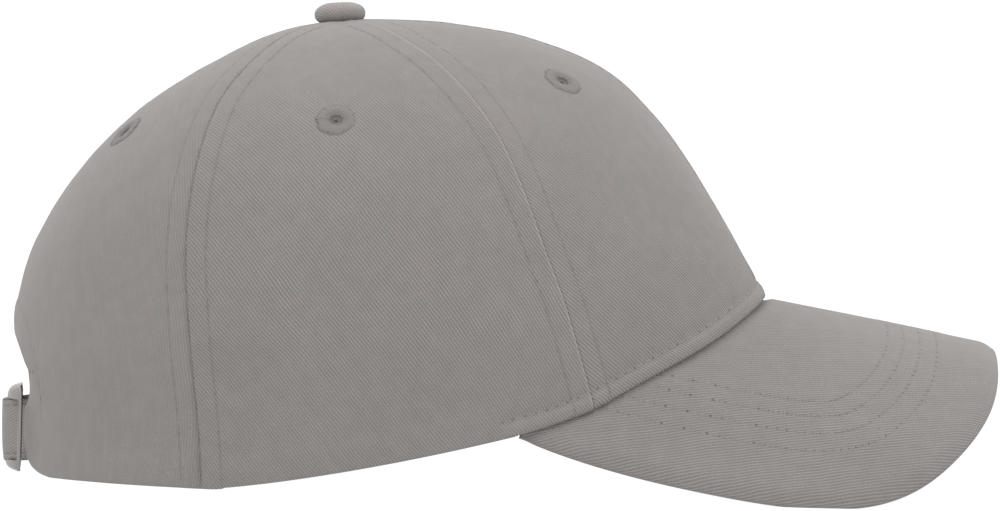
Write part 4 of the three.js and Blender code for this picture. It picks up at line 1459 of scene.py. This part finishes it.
def build_strap():
    azimuth = np.linspace(STRAP_END_AZIMUTH, 360 - STRAP_END_AZIMUTH, STRAP_COLUMNS)[None, :]
    base = strap_face(azimuth, np.linspace(*STRAP_SHARES, STRAP_ROWS)[:, None])
    normals = grid_normals(base)
    from_top = cumulative_length(base)
    from_foot = from_top[-1:] - from_top
    row_offset = np.minimum(from_top, from_foot) - STRAP_ROW_INSET
    along = middle_length(base, from_top.shape)
    relief = ridge("strap_row", row_offset) + pucker("strap_pucker", row_offset, along) + waves("strap", base)
    front = base + normals * relief[..., None]
    holes = stack(row_offset, along)
    write_band("back_strap", front, normals, STRAP_THICKNESS, STRAP_CONTRAST, "strap_twill", holes)
    runs = [level_line(edge, along, STRAP_ROW_INSET, front, normals)[:3] for edge in (from_top, from_foot)]
    join_stitches("strap_stitches", runs)


# Slide buckle

def rounded_loop(half_width, low, high, corner):
    """Points round a rounded rectangle in width and height, corner by corner."""
    quarter = np.radians(np.linspace(0.0, 90.0, BUCKLE_CORNER_STEPS))
    middles = ((1, high - corner), (-1, high - corner), (-1, low + corner), (1, low + corner))
    loop = []
    for index, (side, middle_z) in enumerate(middles):
        angle = quarter + index * math.pi / 2
        y = side * (half_width - corner) + corner * np.cos(angle)
        loop.append(stack(y, middle_z + corner * np.sin(angle)))
    return finer_sides(np.concatenate(loop))


def finer_sides(loop):
    """The same loop with steps added along its four straight sides, the other way round."""
    points = []
    for index, start in enumerate(loop):
        steps = BUCKLE_SIDE_STEPS if (index + 1) % BUCKLE_CORNER_STEPS == 0 else 1
        part = np.arange(steps)[:, None] / steps
        points.append(start * (1 - part) + loop[(index + 1) % len(loop)] * part)
    return np.concatenate(points)[::-1]


def buckle_depth(y, z):
    """How far the sheet lies behind its outermost line: bowed across, rounded over at both rails."""
    bow = BUCKLE_BOW_RADIUS - np.sqrt(BUCKLE_BOW_RADIUS ** 2 - np.minimum(np.abs(y), BUCKLE_HALF_WIDTH) ** 2)
    top = (z - BUCKLE_HALF_HEIGHT + BUCKLE_TOP_RAIL) / BUCKLE_TOP_RAIL
    low = (-z - BUCKLE_HALF_HEIGHT + BUCKLE_LOW_RAIL) / BUCKLE_LOW_RAIL
    over = np.clip(np.maximum(top, low), 0.0, 1.0)
    rounding = 1 - (1 - over ** BUCKLE_RAIL_SQUARENESS) ** (1 / BUCKLE_RAIL_SQUARENESS)
    return BUCKLE_DEPTH * (1 - (1 - bow / BUCKLE_DEPTH) * (1 - rounding))


def buckle_bar(low, high):
    """The middle bar that the strap passes over."""
    sides = 20
    rings = 24
    height = np.linspace(low - BUCKLE_BAR_INSET, high + BUCKLE_BAR_INSET, rings)[:, None]
    angle = np.arange(sides) * TURN / sides
    y = BUCKLE_BAR_WIDTH / 2 * np.cos(angle)
    x = BUCKLE_OUTER_X + BUCKLE_BAR_INSET + BUCKLE_SHEET / 2 * np.sin(angle)
    points = stack(x, y, BUCKLE_MIDDLE_Z + height)
    return points, grid_faces(rings, sides, wrap_columns=True), stack(y, height)


def build_buckle():
    low = BUCKLE_LOW_RAIL - BUCKLE_HALF_HEIGHT
    high = BUCKLE_HALF_HEIGHT - BUCKLE_TOP_RAIL
    outer = rounded_loop(BUCKLE_HALF_WIDTH, -BUCKLE_HALF_HEIGHT, BUCKLE_HALF_HEIGHT, BUCKLE_CORNER)
    inner = rounded_loop(BUCKLE_HALF_WIDTH - BUCKLE_END_BAR, low, high, BUCKLE_WINDOW_CORNER)
    plan = inner + (outer - inner) * np.linspace(0, 1, BUCKLE_ROWS)[:, None, None] ** 0.75
    y, z = np.moveaxis(plan, -1, 0)
    front = stack(BUCKLE_OUTER_X + buckle_depth(y, z) - BUCKLE_TURN * y, y, z + BUCKLE_MIDDLE_Z)
    normals = grid_normals(front, wrap_columns=True)
    facing = np.sign(np.mean(-normals[..., 0]))
    band = closed_band(front, normals * facing, BUCKLE_SHEET, BUCKLE_EDGE_SQUARENESS)
    faces = band_faces(*plan.shape[:2], wrap_columns=True)
    if facing < 0:
        faces = [face[::-1] for face in faces]
    weave = band[..., 1:] - np.array([0.0, BUCKLE_MIDDLE_Z])
    parts = [(band, faces, weave), buckle_bar(low, high)]
    write_mesh("strap_buckle_metal", *joined(parts), "steel", "strap_buckle")


# Top button

def button_profile():
    """Radius and height of the button's outline, from its apex to its foot."""
    top = np.linspace(0.0, math.pi / 2, 30)
    waist = np.linspace(math.pi / 2, math.pi * 0.93, 18)[1:]
    top_height = (BUTTON_HEIGHT - BUTTON_WAIST) * np.cos(top) ** 0.85
    radius = np.concatenate([np.sin(top) ** 0.72, 0.62 + 0.38 * np.sin(waist) ** 0.9])
    height = np.concatenate([top_height, BUTTON_WAIST * np.cos(waist)])
    return stack(BUTTON_RADIUS * radius, BUTTON_SEAT + BUTTON_WIDEST + height)


def build_button():
    profile = button_profile()
    radius, height = profile.T[..., None]
    arc = cumulative_length(profile)[:, None]
    angle = np.arange(BUTTON_COLUMNS) * TURN / BUTTON_COLUMNS
    points = stack(radius * np.cos(angle), radius * np.sin(angle), height)
    folds = waves("button", points * np.array([1.0, 1.0, 0.4])) * rise(arc, 0.0, 4.0)
    points = points + normalised(points - np.array([0, 0, BUTTON_SEAT + 1.0])) * folds[..., None]
    cosine = math.cos(math.radians(BUTTON_LEAN))
    sine = math.sin(math.radians(BUTTON_LEAN))
    x, y, z = np.moveaxis(points, -1, 0)
    apex = np.array([STATIONS["front_x"][0], 0.0, STATIONS["front_z"][0]])
    turned = apex + stack(x * cosine - z * sine, y, x * sine + z * cosine)
    faces = grid_faces(len(profile), BUTTON_COLUMNS, wrap_columns=True)
    foot = (len(profile) - 1) * BUTTON_COLUMNS
    faces.append(list(range(foot, foot + BUTTON_COLUMNS))[::-1])
    maps = {
        "weave": stack(arc * np.cos(angle), -arc * np.sin(angle)),
        "contrast": flat_contrast(points, BUTTON_CONTRAST),
    }
    write_mesh("top_button_cloth", turned, faces, maps, "button_twill", "top_button")


# Vent eyelets

def eyelet_profile():
    """Radius and height of an eyelet from its rim over the ring, down the bore and out behind the cloth."""
    across = np.linspace(0, 1, 30)
    under = np.linspace(0, 1, 12)[1:]
    dome = np.sin(math.pi * np.clip(across * 0.93 + 0.02, 0, 1)) ** 0.55
    height = -0.35 + (EYELET_RELIEF + 0.25) * dome
    bore_height = height[-1] - np.array(EYELET_BORE["depth"])
    under_height = -CROWN_WALL - 0.15 - 0.45 * np.sin(math.pi * under)
    radius = np.concatenate([
        EYELET_RADIUS + (EYELET_HOLE_RADIUS - EYELET_RADIUS) * across,
        EYELET_BORE["radius"],
        EYELET_HOLE_RADIUS + (EYELET_UNDER_RADIUS - EYELET_HOLE_RADIUS) * under,
    ])
    return radius[:, None], np.concatenate([height, bore_height, under_height])[:, None]


def build_eyelet(place, hand, panel):
    centre = crown_skin(*EYELET_PLACES[place])
    normal = crown_normal(*EYELET_PLACES[place])
    gap_to_cloth = np.linalg.norm(panel["base"] - centre, axis=-1)
    bed = (gap_to_cloth > EYELET_BED[0]) & (gap_to_cloth < EYELET_BED[1])
    lift = float(np.mean(panel["relief"][bed]))
    radius, height = eyelet_profile()
    sides = EYELET_THREADS * EYELET_THREAD_SIDES
    angle = np.arange(sides) * TURN / sides
    random = np.random.default_rng(90 + len(place) + hand)
    jitter = np.repeat(random.uniform(-1, 1, EYELET_THREADS), EYELET_THREAD_SIDES)
    row = np.arange(len(radius))[:, None]
    body = np.interp(row, [0, 3, 26, 34, len(radius) - 1], [0.0, 1.0, 1.0, 0.5, 0.3])
    thread = np.abs(np.cos(angle * EYELET_THREADS / 2 + 0.35 * np.sin(radius * 1.3))) ** 0.7
    bulge = body * (EYELET_THREAD_SWELL * (thread - 0.6) + EYELET_UNEVENNESS * jitter)
    radial = radius + np.where(row < EYELET_RAGGED_ROWS, EYELET_RAGGEDNESS, 0.0) * jitter
    right = normalised(np.cross(np.array([0.0, 0.0, 1.0]), normal))
    stand = height + bulge + lift - radial ** 2 / (2 * CROWN_RADIUS)
    points = (
        centre
        + right * (radial * np.cos(angle))[..., None]
        + np.cross(normal, right) * (radial * np.sin(angle))[..., None]
        + normal * stand[..., None]
    )
    points = points if hand > 0 else mirrored(points)
    faces = grid_faces(len(radius), sides, wrap_columns=True, flip=hand < 0)
    maps = {"weave": stack(radius, angle * EYELET_THREADS / TURN)}
    node = f"{place}_eyelet_" + ("left" if hand > 0 else "right")
    write_mesh(node + "_thread", points, faces, maps, "eyelet_thread", node)


# Camera, light and floor

def add_camera():
    elevation = math.radians(CAMERA_ELEVATION)
    roll = math.radians(CAMERA_ROLL)
    forward = Vector((0, math.cos(elevation), -math.sin(elevation)))
    level_right = Vector((1, 0, 0))
    level_up = Vector((0, math.sin(elevation), math.cos(elevation)))
    right = level_right * math.cos(roll) + level_up * math.sin(roll)
    up = level_up * math.cos(roll) - level_right * math.sin(roll)
    place = Vector((ORIGIN_SHIFT[0], 0, CAMERA_TARGET_Z)) * MM - forward * CAMERA_DISTANCE * MM
    camera_data = bpy.data.cameras.new("camera")
    camera_data.sensor_width = SENSOR_WIDTH
    camera_data.sensor_fit = "HORIZONTAL"
    camera_data.lens = SENSOR_WIDTH * CAMERA_DISTANCE / (FRAME_WIDTH * PIXEL_SIZE)
    camera = add_object("camera", camera_data)
    camera.matrix_world = Matrix.Translation(place) @ Matrix((right, up, -forward)).transposed().to_4x4()
    bpy.context.scene.camera = camera


def add_area_light(name, place, aim, size, power):
    light_data = bpy.data.lights.new(name, "AREA")
    light_data.shape = "DISK"
    light_data.size = size
    light_data.energy = power
    light = add_object(name, light_data)
    light.location = place
    light.rotation_euler = (Vector(aim) - Vector(place)).to_track_quat("-Z", "Y").to_euler()


def add_floor():
    mesh = bpy.data.meshes.new("floor")
    corners = [(x * FLOOR_HALF_SIZE, y * FLOOR_HALF_SIZE, 0) for x, y in ((-1, -1), (1, -1), (1, 1), (-1, 1))]
    mesh.from_pydata(corners, [], [(0, 1, 2, 3)])
    mesh.materials.append(floor_material())
    add_object("floor", mesh)


def add_world():
    world = bpy.data.worlds.new("studio")
    world.use_nodes = True
    tree = world.node_tree
    direction = Value(add_node(tree, "TexCoord").outputs["Generated"])
    parts = add_node(tree, "SeparateXYZ", direction)
    strength = Value(parts.outputs["Z"]).ramp(0.0, 1.0, SKY_HORIZON, SKY_HORIZON + SKY_OVERHEAD)
    behind = Value(parts.outputs["Y"]).ramp(-DIM_START, -DIM_FULL, 0.0, 1.0, "SMOOTHSTEP")
    colour = add_node(tree, "Mix", behind, data_type="RGBA")
    plug(WHITE, colour.inputs[6])
    plug(DIM_COLOUR, colour.inputs[7])
    set_inputs(tree.nodes["Background"], {"Color": Value(colour.outputs[2]), "Strength": strength})
    bpy.context.scene.world = world
    bpy.context.scene.view_settings.view_transform = "Standard"


build_crown()
build_peak()
build_sweatband()
build_strap()
build_buckle()
build_button()
add_camera()
add_world()
add_floor()
add_area_light("key_light", (0.5, -0.7, 1.2), (0, 0, 0.06), 1.0, 1.0)
